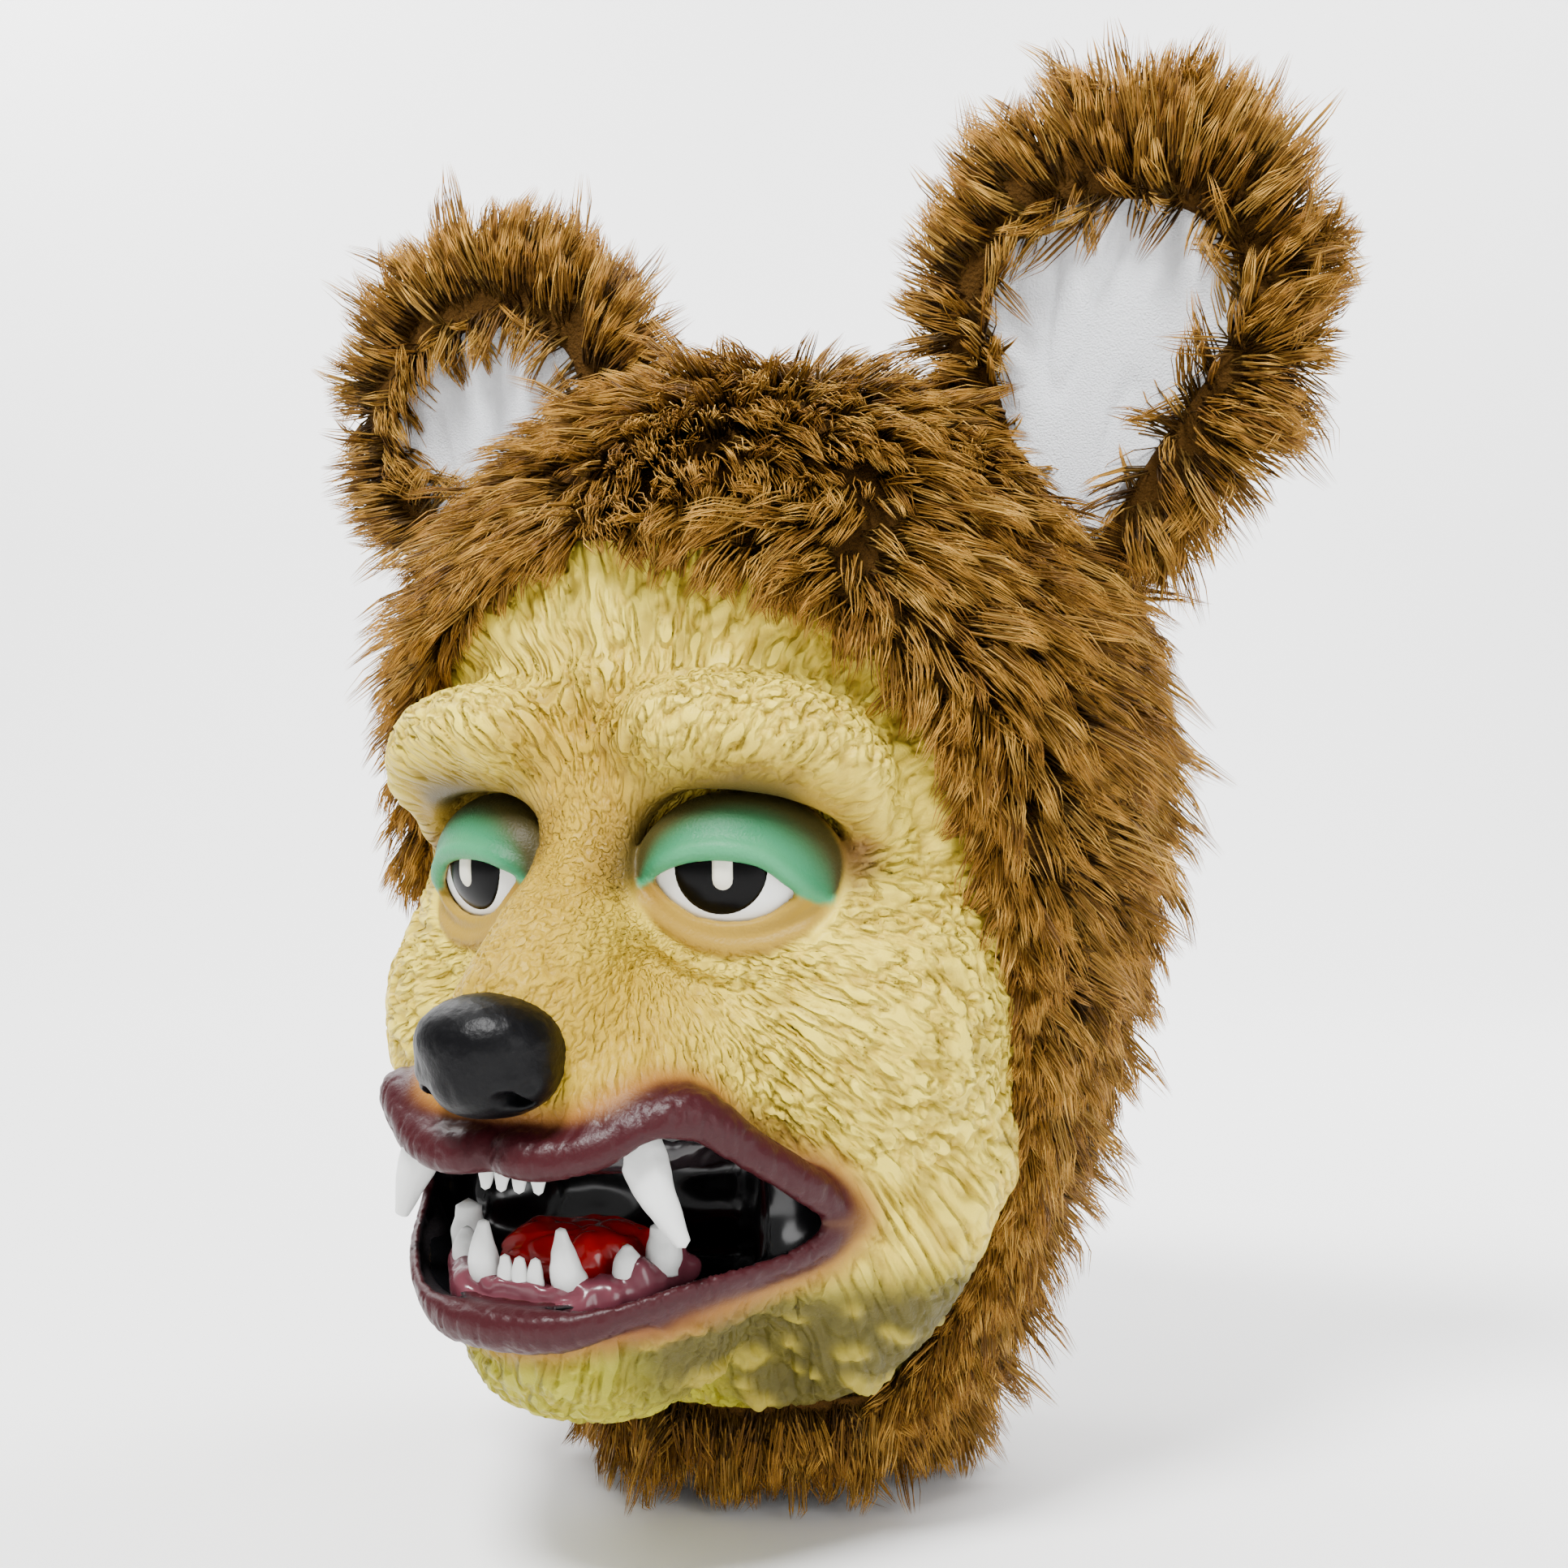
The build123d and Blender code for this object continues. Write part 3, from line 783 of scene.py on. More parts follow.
def eye_paint(colours, points):
    """Green lids; above them brown paint over the socket and a dark crease, both deepened with painted shade
    under the brow; brown paint and painted shade on the band under the eye.
    """
    x, y, z = folded(points).T
    across, out, up = eye_coordinates(x, y, z)
    front = smoothstep(-8, -2, out) * smoothstep(50, 44, np.abs(across)) * (np.abs(up) < 50)
    away = (np.hypot(across / LID_REACH[0], up / LID_REACH[1]) - 1) * LID_REACH[1]
    edge = along_curve(LID_EDGE, across)
    upper = smoothstep(-9, 4, up - 0.12 * across)
    # Above the eye, toward the brow: brown paint with painted shade under the brow.
    soft = np.exp(-(np.maximum(away, 0) / 12.0) ** 2) * upper * front
    colours = mix(colours, SOCKET_BROWN_AND_SHADE, 0.88 * soft)
    # A dark band next to the lid on the inner side: dark paint and painted shade in the crease.
    crease_paint_and_shade = np.exp(-(np.maximum(away, 0) / 6.0) ** 2) * upper * front * smoothstep(27, 14, across)
    colours = mix(colours, CREASE_SHADE_AND_PAINT, 0.92 * crease_paint_and_shade)
    # The band under the eye: brown paint with painted shade beneath the eyeball.
    bag_paint_and_shade = smoothstep(1.5, -2.5, bag_groove(across, up)) * smoothstep(2, -8, up)
    bag_paint_and_shade = bag_paint_and_shade * smoothstep(36, 24, np.abs(across))
    colours = mix(colours, BAG_BROWN_AND_SHADE, 0.80 * bag_paint_and_shade * front)
    outer = smoothstep(13, 2, np.hypot(across - 35, up - 1))
    colours = mix(colours, CORNER_RED, 0.75 * outer * front)
    share = np.clip((up - edge) / np.maximum(-away + up - edge, 3), 0, 1)
    teal = np.tile(LID_TEAL, (len(points), 1))
    teal = mix(teal, LID_LIGHT, 0.7 * smoothstep(0.55, 0.20, share))
    teal = mix(teal, LID_DARK, 0.97 * smoothstep(0.45, 0.92, share))
    lid = smoothstep(-1.6, 0.2, up - edge) * smoothstep(0.9, -0.5, away) * front
    return colours * (1 - lid[:, None]) + teal * lid[:, None]


def face_paint(points, grooves, from_lips, inside):
    colours = eye_paint(skin_paint(points, grooves), points)
    colours = mix(colours, LIP_WASH, smoothstep(12.0, 2.0, from_lips) * 0.85)
    colours = mix(colours, LIP_PLUM, smoothstep(4.2, 0.0, from_lips))
    hidden = np.tile(BARE_LATEX, (len(points), 1))
    hidden = mix(hidden, BEHIND_LIPS, smoothstep(34, 26, from_lips))
    return colours * (1 - inside[:, None]) + hidden * inside[:, None]


def thin_out(verts, tris, quads, hidden, cell):
    """Merges hidden vertices that share a cell, so that the unseen inside takes fewer faces."""
    key = np.floor(verts / cell).astype(np.int64) + 1000
    code = (key[:, 0] * 4096 + key[:, 1]) * 4096 + key[:, 2]
    _, group = np.unique(np.where(hidden, code, -1 - np.arange(len(verts))), return_inverse=True)
    count = np.bincount(group)
    merged = np.stack([np.bincount(group, verts[:, k]) / count for k in range(3)], axis=1)
    tris, quads = group[tris], group[quads]
    ordered = np.sort(quads, axis=1)
    whole = (ordered[:, 1:] != ordered[:, :-1]).all(axis=1)
    halves = quads[~whole]
    tris = np.concatenate([tris, halves[:, [0, 1, 2]], halves[:, [0, 2, 3]]])
    ordered = np.sort(tris, axis=1)
    tris = tris[(ordered[:, 1:] != ordered[:, :-1]).all(axis=1)]
    _, once = np.unique(np.sort(tris, axis=1), axis=0, return_index=True)
    return merged, tris[once], quads[whole]


def make_face():
    clay = Clay((0, -205, 6), (130, 20, 306), 1.08)
    model_face(clay)
    solid = open_face(clay)
    verts, tris, quads = clay.skin()
    hidden = clay.sample(folded(verts), solid) < -2.2
    verts, tris, quads = thin_out(verts, tris, quads, hidden, 2.6)
    normals = vertex_normals(verts, tris, quads)
    depth = clay.sample(folded(verts), solid)
    push, grooves, hairy = face_relief(verts)
    outside = smoothstep(-2.0, -0.8, depth)
    face = from_polygons("face_skin", verts + normals * (push * outside)[:, None], tris, quads, "mask")
    from_lips = np.minimum(rod_distance(verts, LIP_UPPER), rod_distance(verts, LIP_LOWER))
    lay_paint(face, face_paint(verts, grooves, from_lips, smoothstep(-1.6, -2.4, depth)))
    lay_values(face, "hair_flow", "FLOAT_VECTOR", "vector", hair_flow(verts, *FINE_HAIRS))
    lay_values(face, "hair_share", "FLOAT", "value", hairy)
    use(face, LATEX)
    face.data.materials.append(LIP_LATEX)
    on_lip = from_lips < 1.5
    slots = np.concatenate([on_lip[tris].all(axis=1), on_lip[quads].all(axis=1)])
    face.data.polygons.foreach_set("material_index", slots.astype(np.int32))
    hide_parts("face_shell")
    return clay, solid


face_clay, head_solid = make_face()


# ---- The mouth ----
ARCH_Y = -113.0
LOWER_ARCH = (40.0, 42.0)
UPPER_ARCH = (49.0, 46.0)
UPPER_TEETH_X = (-9, -3, 3, 9)
LOWER_TEETH_X = (-5.2, 0, 5.2)


def arch_point(radii, x, z):
    a, b = radii
    return (x, ARCH_Y - b * math.sqrt(max(0, 1 - (x / a) ** 2)), z)


def arch_rod(radii, z, thick):
    """A round bar along the whole of the arch."""
    a, b = radii
    turns = [math.radians(85.36) * step / 6 for step in range(-6, 7)]
    return rod([(a * math.sin(turn), ARCH_Y - b * math.cos(turn), z, thick) for turn in turns])


def inside_head(clay):
    """The head's distance at every point of another clay's grid."""
    distance = face_clay.sample(folded(clay.points()), head_solid)
    return distance.reshape(clay.dist.shape).astype(np.float32)


def clay_piece(name, clay, mat, node, relief=None):
    """A piece on the mask from a whole clay, its surface pushed out by the relief at each vertex."""
    verts, tris, quads = clay.skin(mirrored=False)
    if relief is not None:
        verts = verts + vertex_normals(verts, tris, quads) * relief(verts)[:, None]
    piece = from_polygons(name, verts, tris, quads, "mask")
    use(piece, mat)
    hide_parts(node)


def make_mouth_pocket():
    """The glossy black cup behind the lips: deep in the middle, close behind the lips at the corners."""
    clay = Clay((-84, -150, 58), (84, -82, 126), 1.2)
    x, y, z = clay.coordinates()
    slanted = np.broadcast_arrays((x + 0.5 * z) / 24, y / 26, (z - 0.2 * x) / 13)
    folds = Noise(21)(np.stack([a.ravel() for a in slanted], axis=1)).reshape(clay.dist.shape)
    across, tall = 80, 31
    size = np.sqrt((x / across) ** 2 + ((z - 92) / tall) ** 2)
    slope = np.sqrt((x / across**2) ** 2 + ((z - 92) / tall**2) ** 2)
    tube = size * (size - 1) / np.maximum(slope, 1e-5)
    back = 88 + 17 * np.exp(-(((np.abs(x) - 53) / 12) ** 2))
    bowl = smooth_max(tube, y + back, 14) + 3.4 * folds * smoothstep(-140, -116, y)
    wall = np.abs(bowl) - 1.1
    clay.dist = np.maximum(wall, inside_head(clay) + 1.4).astype(np.float32)
    clay_piece("mouth_lining", clay, MOUTH_BLACK, "mouth_pocket")


def lower_gum_rise(x):
    """How much higher the lower gum lies toward the back of the mouth."""
    return 11.0 * (x / 40) ** 2


def make_gums():
    """The pink lower ridge, with a swelling at each tooth, and the black upper one."""
    bumps = Noise(31)
    lower = Clay((-54, -164, 56), (54, -106, 92), 1.0)
    ridge = []
    for x in range(-38, 39, 4):
        _, y, z = arch_point(LOWER_ARCH, x, 65 + lower_gum_rise(x))
        ridge.append((x, y, z, 7.0 - 3.2 * (x / 38) ** 4))
    lower.add(rod(ridge, 2), 1)
    for x in (-36, -30, -16, -5.2, 0, 5.2, 16, 30, 36):
        place = arch_point(LOWER_ARCH, x, 70 + lower_gum_rise(x))
        wide = abs(x) > 10
        lower.add(ball(place, (4.8, 4.4, 5.0) if wide else (2.8, 4.2, 3.6)), 3)
    lower.dist = np.maximum(lower.dist, inside_head(lower) + 1.6)

    def ribs(points):
        return 0.9 * bumps(points * [1.6, 1.6, 0.5] / 6) + 0.35 * bumps(points / 3.2 + 7)

    clay_piece("lower_gum_flesh", lower, GUM_PINK, "lower_gum", ribs)
    upper = Clay((-62, -170, 98), (62, -106, 126), 1.0)
    upper.dist = arch_rod(UPPER_ARCH, 112, 6.5)[0](*upper.coordinates()).astype(np.float32)
    for x in UPPER_TEETH_X:
        upper.add(ball(arch_point(UPPER_ARCH, x, 106), (2.9, 3.2, 3.6)), 2)
    upper.dist = np.maximum(upper.dist, inside_head(upper) + 1.6)

    def grain(points):
        return 0.35 * bumps(points / 3.5)

    clay_piece("upper_gum_flesh", upper, GUM_BLACK, "upper_gum", grain)


def make_tongue():
    clay = Clay((-30, -152, 58), (30, -94, 94), 0.9)
    clay.add(ball((0, -122, 73), (25.5, 24, 11)), 1)
    clay.add(ball((12, -126, 78), (12, 18, 8)), 5)
    clay.add(ball((-12, -126, 77), (12, 18, 7.5)), 5)
    clay.carve(rod([(0, -150, 84, 1.0), (1, -128, 87, 1.4), (0, -104, 85, 1.2)]), 5)
    lumps = Noise(41)

    def swell(points):
        creases = np.exp(-(lumps(points / 10 + 5) / 0.16) ** 2)
        return 1.9 * lumps(points / 8) - 1.1 * creases + 0.4 * lumps(points / 4 + 9)

    clay_piece("tongue_flesh", clay, TONGUE_RED, "tongue", swell)


def tooth_mesh(path, widths, flatten, grain):
    """A closed, round-ended tooth along a bent path, as rings of vertices."""
    rings, sides = 26, 22
    line = open_curve(path, rings)
    size = open_curve([(w,) for w in widths], rings)
    along = unit(np.gradient(line, axis=0))
    across = unit(np.cross(along, [0, 1, 0.05]))
    depth = flatten * np.cross(across, along)
    turn = np.linspace(0, 2 * math.pi, sides, endpoint=False)[:, None]
    circle = across[:, None, :] * np.cos(turn) + depth[:, None, :] * np.sin(turn)
    verts = (line[:, None, :] + circle * size[:, :, None]).reshape(-1, 3)
    verts = verts + 0.22 * grain(verts / 2.6)[:, None] * unit(circle.reshape(-1, 3))
    verts = np.vstack([verts, line[:1], line[-1:] + along[-1:] * size[-1] * 0.55])
    faces = grid_quads(rings, sides).reshape(-1, 4).tolist()
    first, last, end = rings * sides, rings * sides + 1, (rings - 1) * sides
    faces += [((k + 1) % sides, k, first) for k in range(sides)]
    faces += [(end + k, end + (k + 1) % sides, last) for k in range(sides)]
    return verts, faces


def make_teeth(name, teeth, node):
    """One piece of one tooth or more, each a path, the widths along it and how flat it is."""
    verts, faces = [], []
    for number, (path, widths, flatten) in enumerate(teeth):
        tooth_verts, tooth_faces = tooth_mesh(path, widths, flatten, Noise(50 + number))
        start = sum(len(part) for part in verts)
        verts.append(tooth_verts)
        faces += [[i + start for i in face] for face in tooth_faces]
    piece = make_object(name, np.vstack(verts), faces, "mask")
    use(piece, TOOTH_WHITE)
    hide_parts(node)


def fang(path, sign, widths):
    return [(sign * x, y, z) for x, y, z in path], widths, 0.92


def cone_tooth(place, sign, height, width, blunt):
    x, y, z = place
    path = [(sign * x, y, z + rise) for rise in (-4, height * 0.45, height)]
    return path, [width * 0.9, width, width * 0.8, width * blunt], 0.9


UPPER_FANG = [(36.0, -147.5, 114), (42.5, -149, 101), (49.8, -146.5, 87)]


def make_all_teeth():
    for side, sign in SIDES:
        upper = fang(UPPER_FANG, sign, [7.0, 6.5, 4.7, 2.3])
        make_teeth(f"upper_{side}_fang_tooth", [upper], f"upper_{side}_fang")
        x, y, z = arch_point(LOWER_ARCH, 14.5, 66)
        path = [(x, y + 6, z), (x, y - 0.5, z + 11), (x - 0.9, y - 2.0, z + 23)]
        make_teeth(f"lower_{side}_fang_tooth", [fang(path, sign, [4.2, 5.3, 4.0, 1.5])], f"lower_{side}_fang")
        for word, node, x, z, height, width, blunt in (
            ("cone", "premolar", 28.5, 75, 8.5, 4.6, 0.3),
            ("back", "molar", 35, 78.5, 9.5, 5.6, 0.75),
        ):
            tooth = cone_tooth(arch_point(LOWER_ARCH, x, z), sign, height, width, blunt)
            make_teeth(f"lower_{side}_{word}_tooth", [tooth], f"lower_{side}_{node}")
    for name, node, arch, places, heights, forward, wide, flatten in (
        ("upper_small_teeth", "upper_incisors", UPPER_ARCH, UPPER_TEETH_X, (110, 105.5, 100), 0.4, 2.7, 0.7),
        ("lower_small_teeth", "lower_incisors", LOWER_ARCH, LOWER_TEETH_X, (69, 74, 79.8), 0.3, 2.6, 0.75),
    ):
        row = []
        for x in places:
            _, y, _ = arch_point(arch, x, 0)
            root, middle, tip = heights
            path = [(x, y, root), (x, y, middle), (x * 1.04, y - forward, tip)]
            row.append((path, [2.3, wide, 2.5, 1.5], flatten))
        make_teeth(name, row, node)


make_mouth_pocket()
make_gums()
make_tongue()
make_all_teeth()


# ---- Eyes and nose ----
def eye_patch(name, sign, middle, half_size, raised):
    """A thin raised patch on the eyeball: half_size gives its reach at each turn about its middle."""
    rings, turns = 14, 48
    turn = np.linspace(0, 2 * math.pi, turns, endpoint=False)
    reach = half_size(turn)
    layers = []
    for top, ring in itertools.product((True, False), range(rings + 1)):
        part = ring / rings
        across = middle[0] + reach * part * np.cos(turn)
        up = middle[1] + reach * part * np.sin(turn)
        rise = raised * (1 - part**6) if top else -0.8
        layers.append(eye_place(across, eye_height(across, up) + rise, up))
    return make_object(name, np.vstack(layers) * [sign, 1, 1], pad_faces(rings, turns, sign < 0), "mask")


def iris_reach(turn):
    return 13.9 + 0 * turn


def bar_reach(turn):
    """An upright bar with round ends: how far its edge is from its middle."""
    half_width, straight = 3.4, 6.1
    side = half_width / np.maximum(np.abs(np.cos(turn)), 1e-3)
    rise = np.abs(np.sin(turn)) * straight
    end = rise + np.sqrt(np.maximum(rise**2 - straight**2 + half_width**2, 0))
    return np.where(np.abs(np.sin(turn)) * side < straight, side, end)


def make_eyes():
    for side, sign in SIDES:
        use(bpy.data.objects[f"{side}_eye"], EYE_WHITE)
        for word, node, middle, half_size, raised, mat, slot_name in (
            ("iris_disc", "iris", (-4.9, 0.5), iris_reach, 0.8, IRIS_BLACK, "iris_black"),
            ("light_bar", "highlight", (-4.2, 2.5), bar_reach, 1.7, HIGHLIGHT_CREAM, "highlight_cream"),
        ):
            patch = eye_patch(f"{side}_{word}", sign, middle, half_size, raised)
            use(patch, mat)
            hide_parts(f"{side}_{node}")


# The bars that are carved out of the nose, on the left side, and then the one down its middle.
NOSTRIL = [(11, -186, 126.5, 1.8), (13, -181, 128, 2.8), (14.5, -172, 129.5, 3.0)]
NOSTRIL_SLIT = [(15, -183, 129.5, 0.8), (20, -176, 133, 1.0)]
NOSE_CLEFT = [(0, -189, 119, 0.7), (0, -188, 127, 0.8), (0, -188, 131, 0.4)]


def make_nose():
    clay = Clay((-26, -196, 114), (26, -140, 162), 0.9)
    clay.add(ball((0, -169.5, 143.5), (21.8, 18, 13.6)), 1)
    clay.add(ball((0, -170, 132), (14, 16, 10)), 9)
    clay.add(ball((0, -158, 138), (18, 14, 15)), 8)
    for sign in (-1, 1):
        clay.add(ball((sign * 13, -170, 134), (8.5, 10, 8)), 5)
        for cut in (NOSTRIL, NOSTRIL_SLIT):
            clay.carve(rod([(sign * x, y, z, radius) for x, y, z, radius in cut]), 2)
    clay.carve(rod(NOSE_CLEFT), 3)
    grain = Noise(61)
    clay_piece("nose_tip", clay, BLACK_SATIN, "nose", lambda p: 0.16 * grain(p / 2.2))


make_eyes()
make_nose()


# ---- The hood's cloth and lining ----
def spun(radius, height, around):
    """The points, or directions, of a profile turned about the upright axis: a row for each height."""
    ring = outward(np.linspace(0, 2 * math.pi, around, endpoint=False))
    return radius.reshape(len(height), -1, 1) * ring + height[:, None, None] * UP


def revolved(name, inset, step, wobble, keep, seed):
    """A dome of cloth from the hood's profile, inset along it, keeping only the wanted part."""
    run = np.concatenate([[0], np.cumsum(np.hypot(*np.diff(PROFILE_CURVE, axis=0).T))])
    along = np.linspace(0, run[-1] - 2, int(run[-1] / step))
    r, z = (np.interp(along, run, PROFILE_CURVE[:, k]) for k in (0, 1))
    dr, dz = np.gradient(r), np.gradient(z)
    size = np.hypot(dr, dz)
    around = int(2 * math.pi * 125 / step)
    verts = spun(np.maximum(r - inset * dz / size, 0.5), z + inset * dr / size, around)
    verts = verts + spun(dz / size, -dr / size, around) * (wobble * Noise(seed)(verts / 14))[..., None]
    verts = verts.reshape(-1, 3)
    quads = grid_quads(len(z), around).reshape(-1, 4)
    quads = quads[keep(verts[quads].mean(axis=1))]
    used, flat = np.unique(quads, return_inverse=True)
    return from_polygons(name, verts[used], NO_TRIANGLES, flat.reshape(-1, 4), "mask")


def behind_face(points, margin=0.0):
    """Whether the fur's cloth covers a place, by its height and how far back it is."""
    _, y, z = points.T
    return (z > FACE_TOP_Z + margin) | (y > face_edge_y(z) + margin) & (z <= FACE_TOP_Z + margin)


def hood_zone(name):
    """Whether a place belongs to the strip over the crown, or to one of the sides beside it."""
    def keep(points):
        behind = behind_face(points) & (points[:, 2] > FACE_BOTTOM_Z)
        if name == "hood_gusset":
            return behind & (np.abs(points[:, 0]) <= GUSSET_HALF)
        sign = 1 if name == "hood_left_panel" else -1
        return behind & (sign * points[:, 0] > GUSSET_HALF)
    return keep


def as_sheet(piece, thickness):
    thick = piece.modifiers.new("thickness", "SOLIDIFY")
    thick.thickness = thickness
    thick.offset = -1


HEM_SECTION = [
    (66.5, 17), (63.6, 12), (62.4, 6), (61.4, 1.8),
    (59.4, 0.7), (57.5, 1.8), (56.9, 6), (56.9, 14),
]


def make_hem():
    """The band of cloth folded round the neck elastic, as a U spun about the neck."""
    section = open_curve(HEM_SECTION, 26)
    around = 180
    turn = np.linspace(0, 2 * math.pi, around, endpoint=False)
    ripple = Noise(77)(np.stack([np.cos(turn) * 9, np.sin(turn) * 9, 0 * turn], axis=1))
    verts = spun(section[:, :1] + 0.5 * ripple, section[:, 1], around)
    quads = grid_quads(len(section), around).reshape(-1, 4)[:, [1, 0, 3, 2]]
    return from_polygons("neck_hem_cloth", verts.reshape(-1, 3), NO_TRIANGLES, quads, "mask")


def make_hood():
    for number, node in enumerate(("hood_gusset", "hood_left_panel", "hood_right_panel")):
        cloth = revolved(f"{node}_cloth", 5.0, 2.6, 1.6, hood_zone(node), 70 + number)
        use(cloth, UNDERCOAT)
        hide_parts(node)
        as_sheet(cloth, 0.004)
    lining = revolved("hood_lining_cloth", 12.4, 3.0, 0.7, lambda p: behind_face(p, 6) & (p[:, 2] > 12), 75)
    use(lining, LINING_DARK)
    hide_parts("hood_lining")
    as_sheet(lining, 0.0012)
    hem = make_hem()
    use(hem, UNDERCOAT)
    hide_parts("neck_casing")
    as_sheet(hem, 0.0012)
    use(bpy.data.objects["neck_elastic"], ELASTIC)


make_hood()


# ---- Ears ----
def ear_frame(sign):
    """The turn and the place that take points of an ear's own upright frame into the mask's frame."""
    tilt = math.radians(EAR_TILT) * sign
    turn = np.array([[math.cos(tilt), 0, math.sin(tilt)], [0, 1, 0], [-math.sin(tilt), 0, math.cos(tilt)]])
    return turn, np.array([sign * EAR_CENTRE[0], EAR_Y, EAR_CENTRE[1] + sign * EAR_SKEW])


def plush_curve(sign, count):
    return closed_curve([(sign * a, b) for a, b in PLUSH_OUTLINE], count)


def dome_distance(points):
    """How far above the hood's outer face, measured from the nearest of many places on its profile."""
    out, up = np.hypot(points[:, 0], points[:, 1]), points[:, 2]
    gap = np.full(len(points), 1e9)
    for r, z in PROFILE_CURVE[::4]:
        gap = np.minimum(gap, np.hypot(out - r, up - z))
    inside = (out < hood_radius(up)) & (up < HOOD_PROFILE[-1][1])
    return np.where(inside, -gap, gap)


def ear_clay(sign):
    """An upright ear with a hollow for its plush, cut off just above the hood."""
    clay = Clay((-68, -18, -92), (68, 18, 78), 1.5)
    _, y, _ = clay.coordinates()
    edge = clay.section(closed_curve(EAR_OUTLINE, 90) * 0.97)
    hollow = clay.section(plush_curve(sign, 70))
    slab = smooth_max(edge, np.abs(y) - 11, 12)
    slab = smooth_max(slab, -np.maximum(hollow - 1, y + 3.0), 4)
    turn, place = ear_frame(sign)
    above = dome_distance(clay.points() @ turn.T + place).reshape(slab.shape)
    clay.dist = np.maximum(slab, 4.5 - above).astype(np.float32)
    return clay


def make_plush(side, sign):
    """The white cloth in the ear's hollow, with soft folds, as a closed pad."""
    turn, place = ear_frame(sign)
    folds = Noise(80 if sign > 0 else 81)
    outline = plush_curve(sign, 96) * [1.10, 1.08]
    rings = 30
    local = []
    for back, ring in itertools.product((False, True), range(rings + 1)):
        part = ring / rings
        across, up = (outline * part + np.array([0, -6]) * (1 - part)).T
        deep = np.full(len(across), -2.6)
        if not back:
            folded_at = np.stack([across / 13, up / 46, 0 * across], axis=1)
            crease = np.exp(-(folds(folded_at) / 0.16) ** 2) * (1 - part**4)
            swell = 1.2 * folds(np.stack([across / 24, up / 30, 0 * across + 7], axis=1))
            deep = -6.4 - 1.8 * part**4 - swell + 1.5 * crease
        local.append(np.stack([across, deep, up], axis=1))
    local = np.vstack(local)
    sunk = np.maximum(5.0 - dome_distance(local @ turn.T + place), 0)
    local[:, 2] += 1.2 * sunk
    faces = pad_faces(rings, len(outline), sign > 0)
    piece = make_object(f"{side}_ear_plush_cloth", local @ turn.T + place, faces, f"{side}_ear")
    use(piece, PLUSH_WHITE)
    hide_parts(f"{side}_ear_plush")


def make_ear(side, sign):
    """One ear's cloth, plush and foam. Returns the cloth's surface in the ear's own frame, for its fur."""
    verts, tris, quads = ear_clay(sign).skin(mirrored=False)
    turn, place = ear_frame(sign)
    normals = vertex_normals(verts, tris, quads)
    piece = from_polygons(f"{side}_ear_skin", verts @ turn.T + place, tris, quads, f"{side}_ear")
    use(piece, UNDERCOAT)
    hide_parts(f"{side}_ear_back", f"{side}_ear_front_rim")
    use(bpy.data.objects[f"{side}_ear_foam"], FOAM)
    make_plush(side, sign)
    return verts, normals, quads


# ---- Fur ----
FUR_TINTS = [(0.230, 0.107, 0.014), (0.310, 0.155, 0.023), (0.145, 0.063, 0.008), (0.390, 0.215, 0.040)]
TINT_SHARES = [0.36, 0.28, 0.22, 0.14]
# Each tint in three levels, darker at the root and lighter at the tip: partly the fur's own colour, partly
# painted shade in the pile and a painted highlight at the tips.
FUR_TONE_AND_SHADE_LEVELS = (0.25, 0.80, 1.40)
FUR_MATERIALS = [
    shiny(f"fur_{tint}_{level}", tuple(c * FUR_TONE_AND_SHADE_LEVELS[level] for c in FUR_TINTS[tint]), 0.50, 0.15)
    for tint, level in itertools.product(range(len(FUR_TINTS)), range(len(FUR_TONE_AND_SHADE_LEVELS)))
]
# Along a strand, as shares of its length: its rings and its tip, and each ring's share of its width.
STATIONS = np.array([0.0, 0.38, 0.74, 1.0])
RING_SIZES = (1.0, 0.9, 0.55)
STRAND_RADIUS = 0.36
TUFT_RADIUS = 3.5
STRAND_CURL = 0.30
# A strand's ten points are three rings of three and a tip. Its faces, and how light each is, from 0 at the
# root to 2 at the tip.
STRAND_SIDES = np.array([
    (3 * ring + c, 3 * ring + (c + 1) % 3, 3 * ring + 3 + (c + 1) % 3, 3 * ring + 3 + c)
    for ring, c in itertools.product(range(2), range(3))
])
STRAND_ENDS = np.array([(6, 7, 9), (7, 8, 9), (8, 6, 9), (2, 1, 0)])
STRAND_POINTS = 10
SIDE_LEVELS = np.array([0, 0, 0, 1, 1, 1])
END_LEVELS = np.array([2, 2, 2, 0])


def within_size(points):
    """Eases the fur's ends back where they reach past a margin round the CAD model's box."""
    low, high = (np.array(corner) / MM for corner in CAD_BOX)
    room = 0.03 * (high - low) + 8.5
    soft = 9.0
    for limit, way in ((high + room, 1), (low - room, -1)):
        over = np.maximum((points - limit) * way + soft, 0)
        points = points - way * (over - soft * (1 - np.exp(-over / soft)))
    return points


def strand_paths(root, normal, comb, length, lift, end_lift):
    """Points along each strand, which leaves the skin at one angle and ends at another."""
    here = root
    points = [here]
    for first, last in zip(STATIONS[:-1], STATIONS[1:]):
        middle = (first + last) / 2
        angle = np.radians(lift * (1 - middle) + end_lift * middle)[:, None]
        heading = comb * np.cos(angle) + normal * np.sin(angle)
        here = here + heading * (length * (last - first))[:, None]
        points.append(here)
    return np.stack(points, axis=1)


